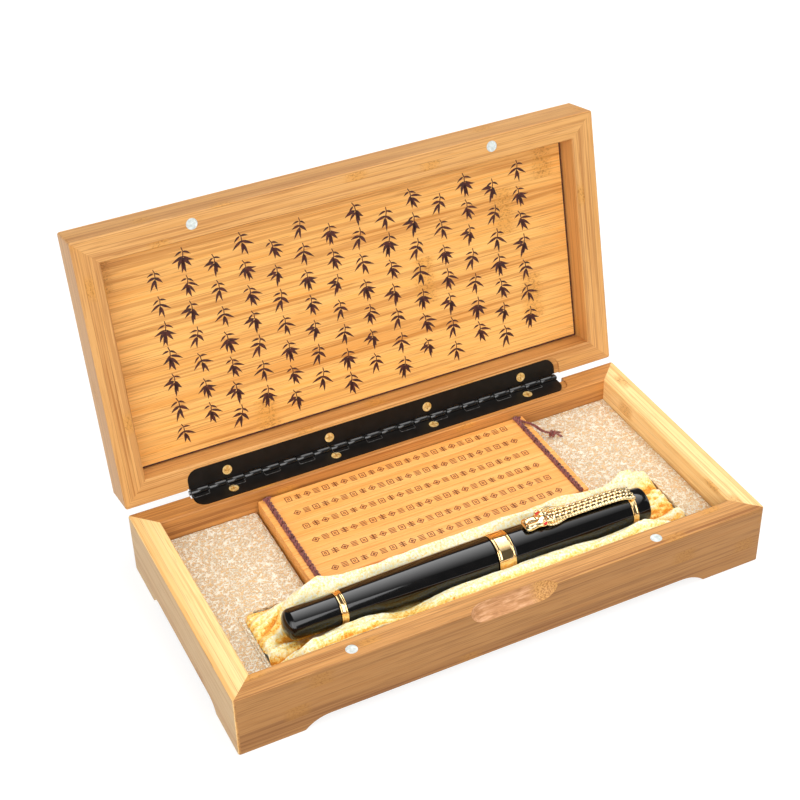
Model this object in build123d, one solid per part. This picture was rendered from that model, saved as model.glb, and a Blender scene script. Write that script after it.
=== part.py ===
from build123d import *
import os
from math import cos, hypot, radians, sin, sqrt

# A bamboo gift box, open, with a capped fountain pen on a silk bed and a folded book of bamboo slips.
# Millimetres, +Z up. Everything is laid out with the middle of the box at x = 0, y = 0 and the floor
# at z = 0, the lid as it closes, and is then moved so that the origin is under the middle of the whole.

# Box
box_width = 220.0
box_depth = 110.0
base_height = 27.0
lid_height = 17.0
wall = 10.0
corner_radius = 1.0
edge_radius = 0.5
inner_chamfer = 0.4
closing_gap = 0.4
lid_opening = 102.9

# Arches between the feet
foot_length = 25.3
arch_rise = 4.4
arch_shoulder = 10.3
arch_ease = 20.0
side_foot_length = 21.5
side_arch_rise = 4.3
side_arch_shoulder = 6.7

# Boards in the walls
bottom_panel_thickness = 3.0
bottom_panel_height = 6.0
groove_depth = 4.0
panel_play = 0.2
lid_board_thickness = 4.0
lid_rebate = 5.0
lid_panel_thickness = 3.0
lid_panel_gap = 0.4

# Thumb notch
notch_radius = 7.45
notch_length = 36.0
notch_setback = 3.4
notch_rise = 0.6

# Magnets
magnet_radius = 2.25
magnet_thickness = 3.0
magnet_spacing = 126.8
magnet_inset = 4.3
magnet_sink = 0.1
magnet_play = 0.03

# Hinge
hinge_left = -83.7
knuckle_pitch = 7.54
knuckle_count = 22
knuckle_gap = 0.3
knuckle_radius = 1.5
knuckle_clearance = 0.3
pin_radius = 0.7
pin_play = 0.05
pin_head_radius = 1.0
pin_head_length = 0.4
pin_head_gap = 0.1
pin_setback = 1.2
leaf_thickness = 0.8
leaf_gap = 0.2
leaf_reach = 9.2
leaf_corner = 4.6
mortise_play = 0.15
mortise_tail = 2.6
lug_length = 1.5
lug_thickness = 0.7
lug_start = 0.8
lug_gap = 0.05

# Hinge screws
screw_places = (-67.2, -22.8, 21.5, 66.0)
screw_inset = 4.9
screw_head_radius = 2.0
screw_head_depth = 1.1
screw_shank_radius = 1.0
screw_length = 8.5
screw_play = 0.03
cross_length = 2.6
cross_width = 0.5
cross_depth = 0.7
screw_sink = 0.05
screw_recess = 0.5

# Lining of the base
liner_top = 17.0
liner_thickness = 2.0
liner_play = 0.3
liner_corner = 5.0
pen_recess_left = -88.5
pen_recess_right = 88.0
pen_recess_margin = 2.0
pen_recess_lap = 2.3
recess_play = 0.5
pad_top = 14.5
silk_top = 19.8
silk_play = 0.4
silk_end_play = 4.0

# Book of bamboo slips
slip_length = 119.5
slip_width = 8.75
slip_gap = 0.2
slip_count = 6
slip_thickness = 1.95
slip_rounding = 0.3
leaf_count = 6
leaf_spacing = 0.32
book_middle = -0.5
book_back_play = 0.8
book_lift_off = 0.3
book_play = 1.0
cord_inset = 3.35
cord_width = 1.8
cord_thickness = 0.6
cord_groove = 0.6
top_cord_rise = 0.5
tail_cord_radius = 0.55
tail_knot_radius = 1.3
tail_cord_route = ((0.0, 38.3, 0.6), (3.2, 36.0, 0.4), (6.3, 34.0, -2.95), (9.1, 32.3, -4.35))

# Pen, measured along its axis from the middle of the barrel's end
pen_tail_x = -77.1
pen_tail_offset = -1.1
pen_height = 25.0
pen_yaw = -0.88
pen_length = 148.1
pen_dome = 2.0
tail_radius = 5.86
end_cap_radius = 6.15
end_cap_length = 17.85
ring_width = 2.65
ring_rise = 0.25
barrel_rear_radius = 6.65
barrel_mid = 57.0
barrel_mid_radius = 7.7
barrel_front = 80.9
barrel_front_radius = 8.0
barrel_bore = 5.6
spigot_radius = 4.6
spigot_length = 3.0
thread_radius = 5.2
thread_length = 12.0
running_play = 0.05
section_play = 0.6
section_mouth_radius = 5.3
section_waist_radius = 4.9
section_ring_rise = 0.3
section_ring_width = 2.0
nib_radius = 3.4
nib_thickness = 0.4
nib_seat = 10.0
nib_straight = 8.0
nib_length = 23.5
nib_tip_room = 11.0
nib_tip_width = 0.9
nib_flank = 0.98
nib_slit_width = 0.16
breather_radius = 0.6
feed_play = 0.05
feed_setback = 6.5
feed_fins = 8
feed_fin_pitch = 1.25
feed_fin_gap = 0.5
feed_fin_depth = 1.1
cap_start = 81.2
band_width = 7.1
band_rise = 0.15
band_seat = 0.6
cap_radius = 8.1
cap_end_radius = 7.35
cap_wall = 0.9
cap_roof = 4.0
cap_ring_width = 2.6
cap_ring_radius = 7.55
finial_length = 5.9
finial_radius = 7.3
finial_end_radius = 7.0
finial_rounding = 0.8
inner_cap_setback = 2.0
inner_cap_wall = 0.8
cap_screw_radius = 2.0
cap_screw_head_radius = 3.8
cap_screw_head = 1.4
cap_screw_sink = 3.5
nipple_radius = 2.2
nipple_length = 5.0
ink_bore = 0.9
tube_radius = 3.6
tube_wall = 0.6
tube_length = 27.0
tube_end_wall = 2.0
collar_thickness = 0.6
collar_length = 9.0
knob_radius = 3.9
knob_length = 9.0
knob_gap = 0.4
knob_floor = 1.0
spindle_radius = 1.5
spindle_length = 5.0
piston_length = 4.0
piston_start = 6.0
rod_radius = 0.8

# Clip on the cap, heights from the cap's widest surface
clip_length = 44.5
clip_head_length = 9.8
clip_width = 6.0
clip_head_width = 6.9
clip_root_rise = 1.2
clip_rise = 1.8
clip_head_rise = 2.8
clip_lift = 0.65
clip_foot_lift = 0.2
clip_foot_length = 2.5
clip_snout_height = 0.9
clip_snout_slope = 0.5
clip_root_depth = 2.2
clip_root_slope = 3.0
clip_root_bend = 1.0
clip_neck_slope = 4.0
clip_throat_slope = 2.0
clip_brow_length = 1.2
clip_brow_drop = 0.6
clip_brow_lift = 0.5
clip_brow_rounding = 1.5
clip_ring_play = 2.0
eye_radius = 0.7
eye_setback = 7.4
eye_rise = 2.1
eye_spread = 7.0

# Values worked out from the sizes above
base_front = -box_depth / 2
base_back = box_depth / 2
inner_width = box_width - 2 * wall
inner_depth = box_depth - 2 * wall
pin_y = base_back + pin_setback
pin_z = base_height + closing_gap / 2
lid_bottom = base_height + closing_gap
lid_top = lid_bottom + lid_height
hinge_length = knuckle_pitch * knuckle_count
hinge_right = hinge_left + hinge_length
leaf_edge = pin_y - leaf_reach
leaf_face = pin_z - leaf_gap / 2
leaf_floor = leaf_face - leaf_thickness
plate_back = pin_y - knuckle_radius - knuckle_clearance
lug_depth = pin_z - leaf_floor + lug_gap + lug_thickness
lug_reach = hypot(lug_start + lug_length, lug_depth) + knuckle_clearance
magnet_y = base_front + magnet_inset
panel_top = bottom_panel_height + bottom_panel_thickness
slip_pitch = slip_width + slip_gap
leaf_depth = slip_pitch * slip_count - slip_gap
book_back = inner_depth / 2 - book_back_play
book_front = book_back - leaf_depth
book_bottom = panel_top + book_lift_off
leaf_pitch = slip_thickness + leaf_spacing
pen_recess_front = -inner_depth / 2 + pen_recess_margin
pen_recess_back = book_front + pen_recess_lap
bed_front = pen_recess_front + recess_play
bed_back = book_front - cord_thickness - silk_play
pen_tail_y = (bed_front + bed_back) / 2 + pen_tail_offset
ring_end = end_cap_length + ring_width
band_end = cap_start + band_width
band_radius = cap_radius + band_rise
cap_ring_end = pen_length - finial_length
cap_end = cap_ring_end - cap_ring_width
tube_start = barrel_front - thread_length - nipple_length - tube_length + tube_end_wall
knob_end = tube_start - knob_gap
cap_bore = cap_radius - cap_wall
cap_end_bore = cap_end_radius - cap_wall
cap_roof_start = cap_end - cap_roof
nipple_start = barrel_front - thread_length - nipple_length
tube_bore = tube_radius - tube_wall
collar_radius = tube_radius + collar_thickness
section_ring_radius = cap_bore - section_play
section_radius = section_ring_radius - section_ring_rise
nib_tip = cap_roof_start - nib_tip_room
section_mouth = nib_tip - nib_length
nib_back = section_mouth - nib_seat
nib_shoulder = section_mouth + nib_straight
feed_radius = nib_radius - nib_thickness - feed_play
feed_front = nib_tip - feed_setback
inner_cap_start = section_mouth + inner_cap_setback
trough_radius = max(band_radius, barrel_front_radius) + silk_play
clip_tip = cap_end - clip_length
clip_head_end = clip_tip + clip_head_length
clip_root_height = cap_radius + clip_root_rise
clip_top = cap_radius + clip_rise
clip_head_top = cap_radius + clip_head_rise
clip_underside = cap_radius + clip_lift
clip_foot = cap_radius + clip_foot_lift
eye_place = clip_tip + eye_setback
eye_height = cap_radius + eye_rise


def rear_reach(corner_y, corner_z, rounding):
    # How far back a rounded corner of the lid is once the lid is open
    turn = radians(-lid_opening)
    y = (corner_y - pin_y) * cos(turn) - (corner_z - pin_z) * sin(turn)
    return pin_y + y + rounding


row_back = rear_reach(base_front + edge_radius, lid_top - edge_radius, edge_radius)
row_shift = -(base_front + row_back) / 2
lid_turn = Pos(0, pin_y, pin_z) * Rot(-lid_opening, 0, 0) * Pos(0, -pin_y, -pin_z)
pen_place = Pos(pen_tail_x, pen_tail_y, pen_height) * Rot(0, 0, pen_yaw)
parts = {}


def keep(name, shape):
    parts[name] = shape


def span(low, high):
    # A block from one corner to the opposite one
    size = [b - a for a, b in zip(low, high)]
    middle = [(a + b) / 2 for a, b in zip(low, high)]
    return Pos(*middle) * Box(*size)


def rod_x(start, end, y, z, radius):
    return Pos((start + end) / 2, y, z) * Rot(0, 90, 0) * Cylinder(radius, end - start)


def rod_z(x, y, bottom, top, radius):
    return Pos(x, y, (bottom + top) / 2) * Cylinder(radius, top - bottom)


def rounded_block(bottom, height):
    block = span(
        (-box_width / 2, base_front, bottom),
        (box_width / 2, base_back, bottom + height),
    )
    block = fillet(block.edges().filter_by(Axis.Z), corner_radius)
    faces = block.faces().sort_by(Axis.Z)
    return fillet(faces[0].edges() + faces[-1].edges(), edge_radius)


def mitre_wedge(side, bottom, height):
    # The share of the frame that one wall takes: its ends lie on the mitre lines
    x, y = box_width / 2 + 1, box_depth / 2 + 1
    ridge = (box_width - box_depth) / 2
    outlines = {
        "front": [(-x, -y), (x, -y), (ridge, 0), (-ridge, 0)],
        "back": [(x, y), (-x, y), (-ridge, 0), (ridge, 0)],
        "left": [(-x, y), (-x, -y), (-ridge, 0)],
        "right": [(x, -y), (x, y), (ridge, 0)],
    }
    outline = make_face(Polyline(*outlines[side], close=True))
    return extrude(Pos(0, 0, bottom) * outline, amount=height)


def arch_face(length, foot, rise, shoulder):
    # A low vault: a flat roof that two arcs carry down to the feet
    half = length / 2 - foot
    flat = half - shoulder
    radius = (shoulder**2 + rise**2) / (2 * rise)
    ease = radius * sin(radians(arch_ease))
    drop = rise - radius + sqrt(radius**2 - ease**2)
    left = ThreePointArc((-half, 0), (-flat - ease, drop), (-flat, rise))
    right = ThreePointArc((flat, rise), (flat + ease, drop), (half, 0))
    roof = Line((-flat, rise), (flat, rise))
    floor = Line((half, 0), (-half, 0))
    return make_face([left, roof, right, floor])


def arch_cutter(face, thickness, along_x):
    upright = Rot(90, 0, 0) * face
    if not along_x:
        upright = Rot(0, 0, 90) * upright
    return extrude(upright, amount=thickness / 2, both=True)


def screw_body(play):
    # Countersunk wood screw, head up, its top at z = 0
    outline = Polyline(
        (0, 0),
        (screw_head_radius + play, 0),
        (screw_shank_radius + play, -screw_head_depth),
        (screw_shank_radius + play, -screw_length + screw_shank_radius),
        (0, -screw_length),
        close=True,
    )
    return revolve(Rot(90, 0, 0) * make_face(outline), Axis.Z)


def screw_hole():
    # The screw's room, open upward through what lies over its head
    reach = screw_sink + screw_recess
    return screw_body(screw_play) + rod_z(0, 0, -screw_play, reach, screw_head_radius + screw_play)


def hinge_screw():
    body = screw_body(0)
    for turn in (0, 90):
        slot = Pos(0, 0, -cross_depth / 2) * Rot(0, 0, turn) * Box(cross_length, cross_width, cross_depth)
        body = body - slot
    return body


def at_screws(make):
    # The same shape at each screw of the leaf that lies on the base
    y = base_back - screw_inset + pin_setback
    return [Pos(x, y, leaf_face - screw_sink) * make() for x in screw_places]


def hinge_leaf(first):
    # A leaf as it lies on the base: plate, fingers and every other knuckle
    plate = span((hinge_left, leaf_edge, leaf_floor), (hinge_right, plate_back, leaf_face))
    corners = plate.edges().filter_by(Axis.Z).group_by(Axis.Y)[0]
    leaf = fillet(corners, leaf_corner)
    for k in range(first, knuckle_count, 2):
        start = hinge_left + k * knuckle_pitch + knuckle_gap / 2
        end = start + knuckle_pitch - knuckle_gap
        leaf += span((start, plate_back - leaf_thickness, leaf_floor), (end, pin_y, leaf_face))
        leaf += rod_x(start, end, pin_y, pin_z, knuckle_radius)
    leaf -= rod_x(hinge_left, hinge_right, pin_y, pin_z, pin_radius + pin_play)
    for hole in at_screws(screw_hole):
        leaf -= hole
    return leaf


def over(shape):
    # From the leaf on the base to the one in the closed lid
    return mirror(shape, about=Plane.XY.offset(pin_z))


def mortise(groove_radius):
    left = hinge_left - mortise_play
    right = hinge_right + mortise_tail
    seat = span((left, leaf_edge - mortise_play, leaf_floor), (right, base_back + 1, lid_bottom))
    seat = fillet(seat.edges().filter_by(Axis.Z).group_by(Axis.Y)[0], leaf_corner)
    head = pin_head_gap + pin_head_length + mortise_play
    return seat + rod_x(left - head, right, pin_y, pin_z, groove_radius)


def magnets_at(bottom):
    places = (-magnet_spacing / 2, magnet_spacing / 2)
    return [rod_z(x, magnet_y, bottom, bottom + magnet_thickness, magnet_radius) for x in places]


def pockets_at(bottom, top):
    places = (-magnet_spacing / 2, magnet_spacing / 2)
    return [rod_z(x, magnet_y, bottom, top, magnet_radius + magnet_play) for x in places]


def base_walls():
    frame = rounded_block(0, base_height)
    frame -= span(
        (-inner_width / 2, -inner_depth / 2, -1),
        (inner_width / 2, inner_depth / 2, base_height + 1),
    )
    mouth = Pos(0, 0, base_height) * Rectangle(
        inner_width + 2 * inner_chamfer, inner_depth + 2 * inner_chamfer
    )
    frame -= extrude(mouth, amount=-inner_chamfer, taper=45)
    reach_x = inner_width / 2 + groove_depth
    reach_y = inner_depth / 2 + groove_depth
    frame -= span((-reach_x, -reach_y, bottom_panel_height), (reach_x, reach_y, panel_top + panel_play))
    long_arch = arch_face(box_width, foot_length, arch_rise, arch_shoulder)
    side_arch = arch_face(box_depth, side_foot_length, side_arch_rise, side_arch_shoulder)
    frame -= arch_cutter(long_arch, box_depth + 2, True)
    frame -= arch_cutter(side_arch, box_width + 2, False)
    walls = {}
    for side in ("front", "back", "left", "right"):
        walls[side] = frame & mitre_wedge(side, -1, base_height + 2)
    notch_y = base_front - notch_setback
    notch_z = base_height + notch_rise
    end_reach = sqrt(notch_radius**2 - hypot(notch_setback, notch_rise) ** 2)
    half = notch_length / 2 - end_reach
    scoop = rod_x(-half, half, notch_y, notch_z, notch_radius)
    for x in (-half, half):
        scoop += Pos(x, notch_y, notch_z) * Sphere(notch_radius)
    walls["front"] -= scoop
    top = base_height - magnet_sink
    for pocket in pockets_at(top - magnet_thickness, base_height + 1):
        walls["front"] -= pocket
    walls["back"] -= mortise(lug_reach)
    for pilot in at_screws(lambda: screw_body(screw_play)):
        walls["back"] -= pilot
    return walls


def lid_walls():
    frame = rounded_block(lid_bottom, lid_height)
    board_floor = lid_top - lid_board_thickness
    frame -= span(
        (-inner_width / 2, -inner_depth / 2, lid_bottom - 1),
        (inner_width / 2, inner_depth / 2, lid_top + 1),
    )
    mouth = Pos(0, 0, lid_bottom) * Rectangle(
        inner_width + 2 * inner_chamfer, inner_depth + 2 * inner_chamfer
    )
    frame -= extrude(mouth, amount=inner_chamfer, taper=45)
    reach_x = inner_width / 2 + lid_rebate
    reach_y = inner_depth / 2 + lid_rebate
    frame -= span((-reach_x, -reach_y, board_floor), (reach_x, reach_y, lid_top + 1))
    walls = {}
    for side in ("front", "back", "left", "right"):
        walls[side] = frame & mitre_wedge(side, lid_bottom - 1, lid_height + 2)
    bottom = lid_bottom + magnet_sink
    for pocket in pockets_at(lid_bottom - 1, bottom + magnet_thickness):
        walls["front"] -= pocket
    walls["back"] -= over(mortise(knuckle_radius + knuckle_clearance))
    for pilot in at_screws(lambda: screw_body(screw_play)):
        walls["back"] -= over(pilot)
    return walls


def stop_lugs(first):
    # Under the base leaf's edge when the lid is fully open: they stop the lid
    lugs = []
    top = leaf_floor - lug_gap
    near = pin_y - lug_start
    for k in range(first, knuckle_count, 2):
        start = hinge_left + k * knuckle_pitch + knuckle_gap / 2
        end = start + knuckle_pitch - knuckle_gap
        lugs.append(span((start, near - lug_length, top - lug_thickness), (end, near, top)))
    return lugs


def make_box():
    walls = base_walls()
    for side, shape in walls.items():
        keep(f"base_{side}_wall", shape)
    reach_x = inner_width / 2 + groove_depth - panel_play
    reach_y = inner_depth / 2 + groove_depth - panel_play
    keep(
        "base_bottom_panel",
        span((-reach_x, -reach_y, bottom_panel_height), (reach_x, reach_y, panel_top)),
    )
    keep("base_magnets", Compound(magnets_at(base_height - magnet_sink - magnet_thickness)))
    keep("hinge_base_leaf", hinge_leaf(1))
    pin = rod_x(hinge_left - pin_head_gap, hinge_right + pin_head_gap, pin_y, pin_z, pin_radius)
    left_head = hinge_left - pin_head_gap
    right_head = hinge_right + pin_head_gap
    pin += rod_x(left_head - pin_head_length, left_head, pin_y, pin_z, pin_head_radius)
    pin += rod_x(right_head, right_head + pin_head_length, pin_y, pin_z, pin_head_radius)
    keep("hinge_pin", pin)
    keep("base_hinge_screws", Compound(at_screws(hinge_screw)))


def make_lid():
    for side, shape in lid_walls().items():
        keep(f"lid_{side}_wall", lid_turn * shape)
    board_floor = lid_top - lid_board_thickness
    reach_x = inner_width / 2 + lid_rebate
    reach_y = inner_depth / 2 + lid_rebate
    board = span((-reach_x, -reach_y, board_floor), (reach_x, reach_y, lid_top))
    keep("lid_top_board", lid_turn * board)
    reach_x = inner_width / 2 - lid_panel_gap
    reach_y = inner_depth / 2 - lid_panel_gap
    panel = span((-reach_x, -reach_y, board_floor - lid_panel_thickness), (reach_x, reach_y, board_floor))
    keep("lid_inner_panel", lid_turn * panel)
    keep("lid_magnets", lid_turn * Compound(magnets_at(lid_bottom + magnet_sink)))
    leaf = lid_turn * over(hinge_leaf(0))
    bore = rod_x(hinge_left, hinge_right, pin_y, pin_z, pin_radius + pin_play)
    for lug in stop_lugs(0):
        leaf += lug - bore
    keep("hinge_lid_leaf", leaf)
    keep("lid_hinge_screws", lid_turn * over(Compound(at_screws(hinge_screw))))


def make_lining():
    half_x = inner_width / 2 - liner_play
    half_y = inner_depth / 2 - liner_play
    board = Rectangle(2 * half_x, 2 * half_y)
    recess_x = (pen_recess_left + pen_recess_right) / 2
    recess_y = (pen_recess_front + pen_recess_back) / 2
    recess = Pos(recess_x, recess_y) * RectangleRounded(
        pen_recess_right - pen_recess_left, pen_recess_back - pen_recess_front, liner_corner
    )
    book_low = book_front - book_play
    well_depth = inner_depth / 2 + 1 - book_low
    well = Pos(book_middle, book_low + well_depth / 2) * Rectangle(slip_length + 2 * book_play, well_depth)
    outline = board - recess - well
    keep("liner_board", extrude(Pos(0, 0, liner_top - liner_thickness) * outline, amount=liner_thickness))
    support = liner_top - liner_thickness - panel_top
    keep("liner_foam", extrude(Pos(0, 0, panel_top) * outline, amount=support))

    bed_length = pen_recess_right - pen_recess_left - 2 * recess_play
    bed = Pos(recess_x, (bed_front + bed_back) / 2) * RectangleRounded(
        bed_length, bed_back - bed_front, liner_corner - recess_play
    )
    keep("pen_pad", extrude(Pos(0, 0, panel_top) * bed, amount=pad_top - panel_top))
    silk = extrude(Pos(0, 0, pad_top) * bed, amount=silk_top - pad_top)
    trough = rod_x(-pen_dome - silk_play, pen_length + silk_end_play, 0, 0, trough_radius)
    keep("silk_lining", silk - pen_place * trough)


def slip_leaf(bottom):
    # One leaf of the book: slips side by side, each with a notch for the cords above and below
    slips = []
    half = slip_length / 2
    for k in range(slip_count):
        low = book_front + k * slip_pitch
        slip = span(
            (book_middle - half, low, bottom),
            (book_middle + half, low + slip_width, bottom + slip_thickness),
        )
        slip = fillet(slip.edges().filter_by(Axis.X), slip_rounding)
        for x in cord_lines():
            for z in (bottom, bottom + slip_thickness):
                notch = (cord_width, slip_width + 2, 2 * cord_groove)
                slip -= Pos(x, low + slip_width / 2, z) * Box(*notch)
        slips.append(slip)
    return Compound(slips)


def cord_lines():
    reach = slip_length / 2 - cord_inset
    return (book_middle - reach, book_middle + reach)


def leaf_cords(bottom, rise):
    # A band of cord round the leaf at each end of the slips
    bands = []
    for x in cord_lines():
        low = (x - cord_width / 2, book_front, bottom + cord_groove)
        high = (x + cord_width / 2, book_back, bottom + slip_thickness - cord_groove)
        outer = span(
            (low[0], low[1] - cord_thickness, low[2] - cord_thickness),
            (high[0], high[1] + cord_thickness, high[2] + cord_thickness + rise),
        )
        bands.append(outer - span((low[0] - 1, low[1], low[2]), (high[0] + 1, high[1], high[2])))
    return Compound(bands)


def tail_cord(top):
    # The loose end of the right cord: off the book's edge and down to its knot beside it
    start = cord_lines()[1] + cord_width / 2
    rest = top + tail_cord_radius
    route = [(start + x, y, rest + z) for x, y, z in tail_cord_route]
    path = Polyline(*route)
    tube = Sphere(tail_knot_radius).moved(Location(route[-1]))
    for edge in path.edges():
        tube += sweep(Plane(edge @ 0, z_dir=edge % 0) * Circle(tail_cord_radius), path=edge)
    for point in route[:-1]:
        tube += Pos(*point) * Sphere(tail_cord_radius)
    return tube


def make_book():
    for k in range(leaf_count):
        number = leaf_count - k
        bottom = book_bottom + k * leaf_pitch
        rise = top_cord_rise if number == 1 else 0
        keep(f"slip_leaf_{number}", slip_leaf(bottom))
        keep(f"leaf_cords_{number}", leaf_cords(bottom, rise))
        if number == 1:
            keep("book_tail_cord", tail_cord(bottom + slip_thickness))


def turned(*points):
    # A solid of revolution about the pen's axis, from (station, radius) points
    return revolve(make_face(Polyline(*points, close=True)), Axis.X)


def domed_end(shape, station, size):
    edges = shape.edges().filter_by(GeomType.CIRCLE).group_by(Axis.X)
    group = edges[0] if station == "rear" else edges[-1]
    return fillet(group.sort_by(SortBy.RADIUS)[-1], size)


def make_barrel():
    dome = [(-pen_dome * (1 - share**2), tail_radius * share) for share in (0, 0.35, 0.6, 0.8, 1)]
    end_cap = turned(
        *dome,
        (end_cap_length, end_cap_radius),
        (end_cap_length, spigot_radius),
        (ring_end + spigot_length, spigot_radius),
        (ring_end + spigot_length, 0),
    )
    keep("barrel_end_cap", pen_place * end_cap)
    rear = end_cap_radius + ring_rise
    front = barrel_rear_radius + ring_rise / 2
    ring = turned(
        (end_cap_length, spigot_radius),
        (end_cap_length, rear),
        (ring_end, front),
        (ring_end, spigot_radius),
    )
    keep("barrel_end_ring", pen_place * ring)
    seat = barrel_front - thread_length
    barrel = turned(
        (ring_end, spigot_radius),
        (ring_end, barrel_rear_radius),
        (barrel_mid, barrel_mid_radius),
        (barrel_front, barrel_front_radius),
        (barrel_front, thread_radius + running_play),
        (seat, thread_radius + running_play),
        (seat, barrel_bore),
        (ring_end + spigot_length, barrel_bore),
        (ring_end + spigot_length, spigot_radius),
    )
    keep("pen_barrel", pen_place * barrel)


def make_section():
    ring_start = barrel_front + running_play
    ring_stop = ring_start + section_ring_width
    socket = nib_radius + running_play
    section = turned(
        (nipple_start, ink_bore),
        (nipple_start, nipple_radius),
        (barrel_front - thread_length, nipple_radius),
        (barrel_front - thread_length, thread_radius),
        (ring_stop, thread_radius),
        (ring_stop, section_radius),
        (section_mouth - section_ring_width, section_waist_radius),
        (section_mouth, section_mouth_radius),
        (section_mouth, socket),
        (nib_back, socket),
        (nib_back, ink_bore),
    )
    keep("grip_section", pen_place * section)
    ring = turned(
        (ring_start, thread_radius),
        (ring_start, section_ring_radius),
        (ring_stop, section_ring_radius),
        (ring_stop, thread_radius),
    )
    keep("section_ring", pen_place * ring)

    shell = turned(
        (nib_back, nib_radius - nib_thickness),
        (nib_back, nib_radius),
        (nib_tip, nib_radius),
        (nib_tip, nib_radius - nib_thickness),
    )
    plan = Polyline(
        (nib_back, -nib_radius - 1),
        (nib_shoulder, -nib_radius - 1),
        (nib_shoulder, -nib_radius * nib_flank),
        (nib_tip, -nib_tip_width / 2),
        (nib_tip, nib_tip_width / 2),
        (nib_shoulder, nib_radius * nib_flank),
        (nib_shoulder, nib_radius + 1),
        (nib_back, nib_radius + 1),
        close=True,
    )
    nib = shell & extrude(make_face(plan), amount=nib_radius + 1)
    breather = Pos(nib_shoulder, 0, nib_radius) * Cylinder(breather_radius, 2)
    half_slit = nib_slit_width / 2
    slit = span((nib_shoulder, -half_slit, 0), (nib_tip + 1, half_slit, nib_radius + 1))
    keep("nib", pen_place * (nib - breather - slit))
    outline = [(nib_back, 0), (nib_back, feed_radius)]
    for k in range(feed_fins):
        low = section_mouth + feed_fin_gap + k * feed_fin_pitch
        high = low + feed_fin_gap
        floor = feed_radius - feed_fin_depth
        outline += [(low, feed_radius), (low, floor), (high, floor), (high, feed_radius)]
    body = turned(*outline, (feed_front, feed_radius), (feed_front, 0))
    underside = Polyline(
        (section_mouth, -nib_radius), (feed_front + 1, -nib_radius), (feed_front + 1, 1), close=True
    )
    body -= extrude(Rot(90, 0, 0) * make_face(underside), amount=nib_radius, both=True)
    keep("feed", pen_place * body)


def make_converter():
    tube_end = tube_start + tube_length
    tube = turned(
        (tube_start, tube_bore),
        (tube_start, tube_radius),
        (tube_end, tube_radius),
        (tube_end, nipple_radius),
        (tube_end - tube_end_wall, nipple_radius),
        (tube_end - tube_end_wall, tube_bore),
    )
    keep("converter_tube", pen_place * tube)
    collar = turned(
        (tube_start, tube_radius),
        (tube_start, collar_radius),
        (tube_start + collar_length, collar_radius),
        (tube_start + collar_length, tube_radius),
    )
    keep("converter_collar", pen_place * collar)
    rod_hole = rod_radius + running_play
    knob_start = knob_end - knob_length
    knob = turned(
        (knob_start, 0),
        (knob_start, knob_radius),
        (knob_end, knob_radius),
        (knob_end, spindle_radius),
        (knob_end + spindle_length, spindle_radius),
        (knob_end + spindle_length, rod_hole),
        (knob_start + knob_floor, rod_hole),
        (knob_start + knob_floor, 0),
    )
    keep("converter_knob", pen_place * knob)
    head = tube_start + piston_start
    rod_start = knob_start + knob_floor + knob_gap
    piston = turned(
        (rod_start, 0),
        (rod_start, rod_radius),
        (head, rod_radius),
        (head, tube_bore - running_play),
        (head + piston_length, tube_bore - running_play),
        (head + piston_length, 0),
    )
    keep("converter_piston", pen_place * piston)


def make_cap():
    seat = band_radius - band_seat
    shell = turned(
        (cap_start, cap_bore),
        (cap_start, seat),
        (band_end, seat),
        (band_end, cap_radius),
        (cap_end, cap_end_radius),
        (cap_end, cap_screw_radius),
        (cap_roof_start, cap_screw_radius),
        (cap_roof_start, cap_end_bore),
    )
    keep("cap_shell", pen_place * shell)
    band = turned(
        (cap_start, seat),
        (cap_start, band_radius),
        (band_end, band_radius),
        (band_end, seat),
    )
    keep("cap_centre_band", pen_place * band)
    share = (inner_cap_start - cap_start) / (cap_roof_start - cap_start)
    start_bore = cap_bore + share * (cap_end_bore - cap_bore)
    head_floor = cap_roof_start - cap_screw_head
    end_share = (head_floor - cap_start) / (cap_roof_start - cap_start)
    end_bore = cap_bore + end_share * (cap_end_bore - cap_bore)
    inner_cap = turned(
        (inner_cap_start, start_bore - inner_cap_wall),
        (inner_cap_start, start_bore),
        (head_floor, end_bore),
        (head_floor, end_bore - inner_cap_wall),
    )
    keep("cap_inner_liner", pen_place * inner_cap)
    ring = turned(
        (cap_end, cap_screw_radius),
        (cap_end, cap_ring_radius),
        (cap_ring_end, cap_ring_radius),
        (cap_ring_end, cap_screw_radius),
    )
    keep("cap_clip_ring", pen_place * ring)
    finial = turned(
        (cap_ring_end, cap_screw_radius),
        (cap_ring_end, finial_radius),
        (pen_length, finial_end_radius),
        (pen_length, 0),
        (cap_ring_end + cap_screw_sink, 0),
        (cap_ring_end + cap_screw_sink, cap_screw_radius),
    )
    keep("cap_finial", pen_place * domed_end(finial, "front", finial_rounding))
    screw = turned(
        (head_floor, 0),
        (head_floor, cap_screw_head_radius),
        (cap_roof_start, cap_screw_head_radius),
        (cap_roof_start, cap_screw_radius),
        (cap_ring_end + cap_screw_sink, cap_screw_radius),
        (cap_ring_end + cap_screw_sink, 0),
    )
    keep("cap_screw", pen_place * screw)


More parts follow.
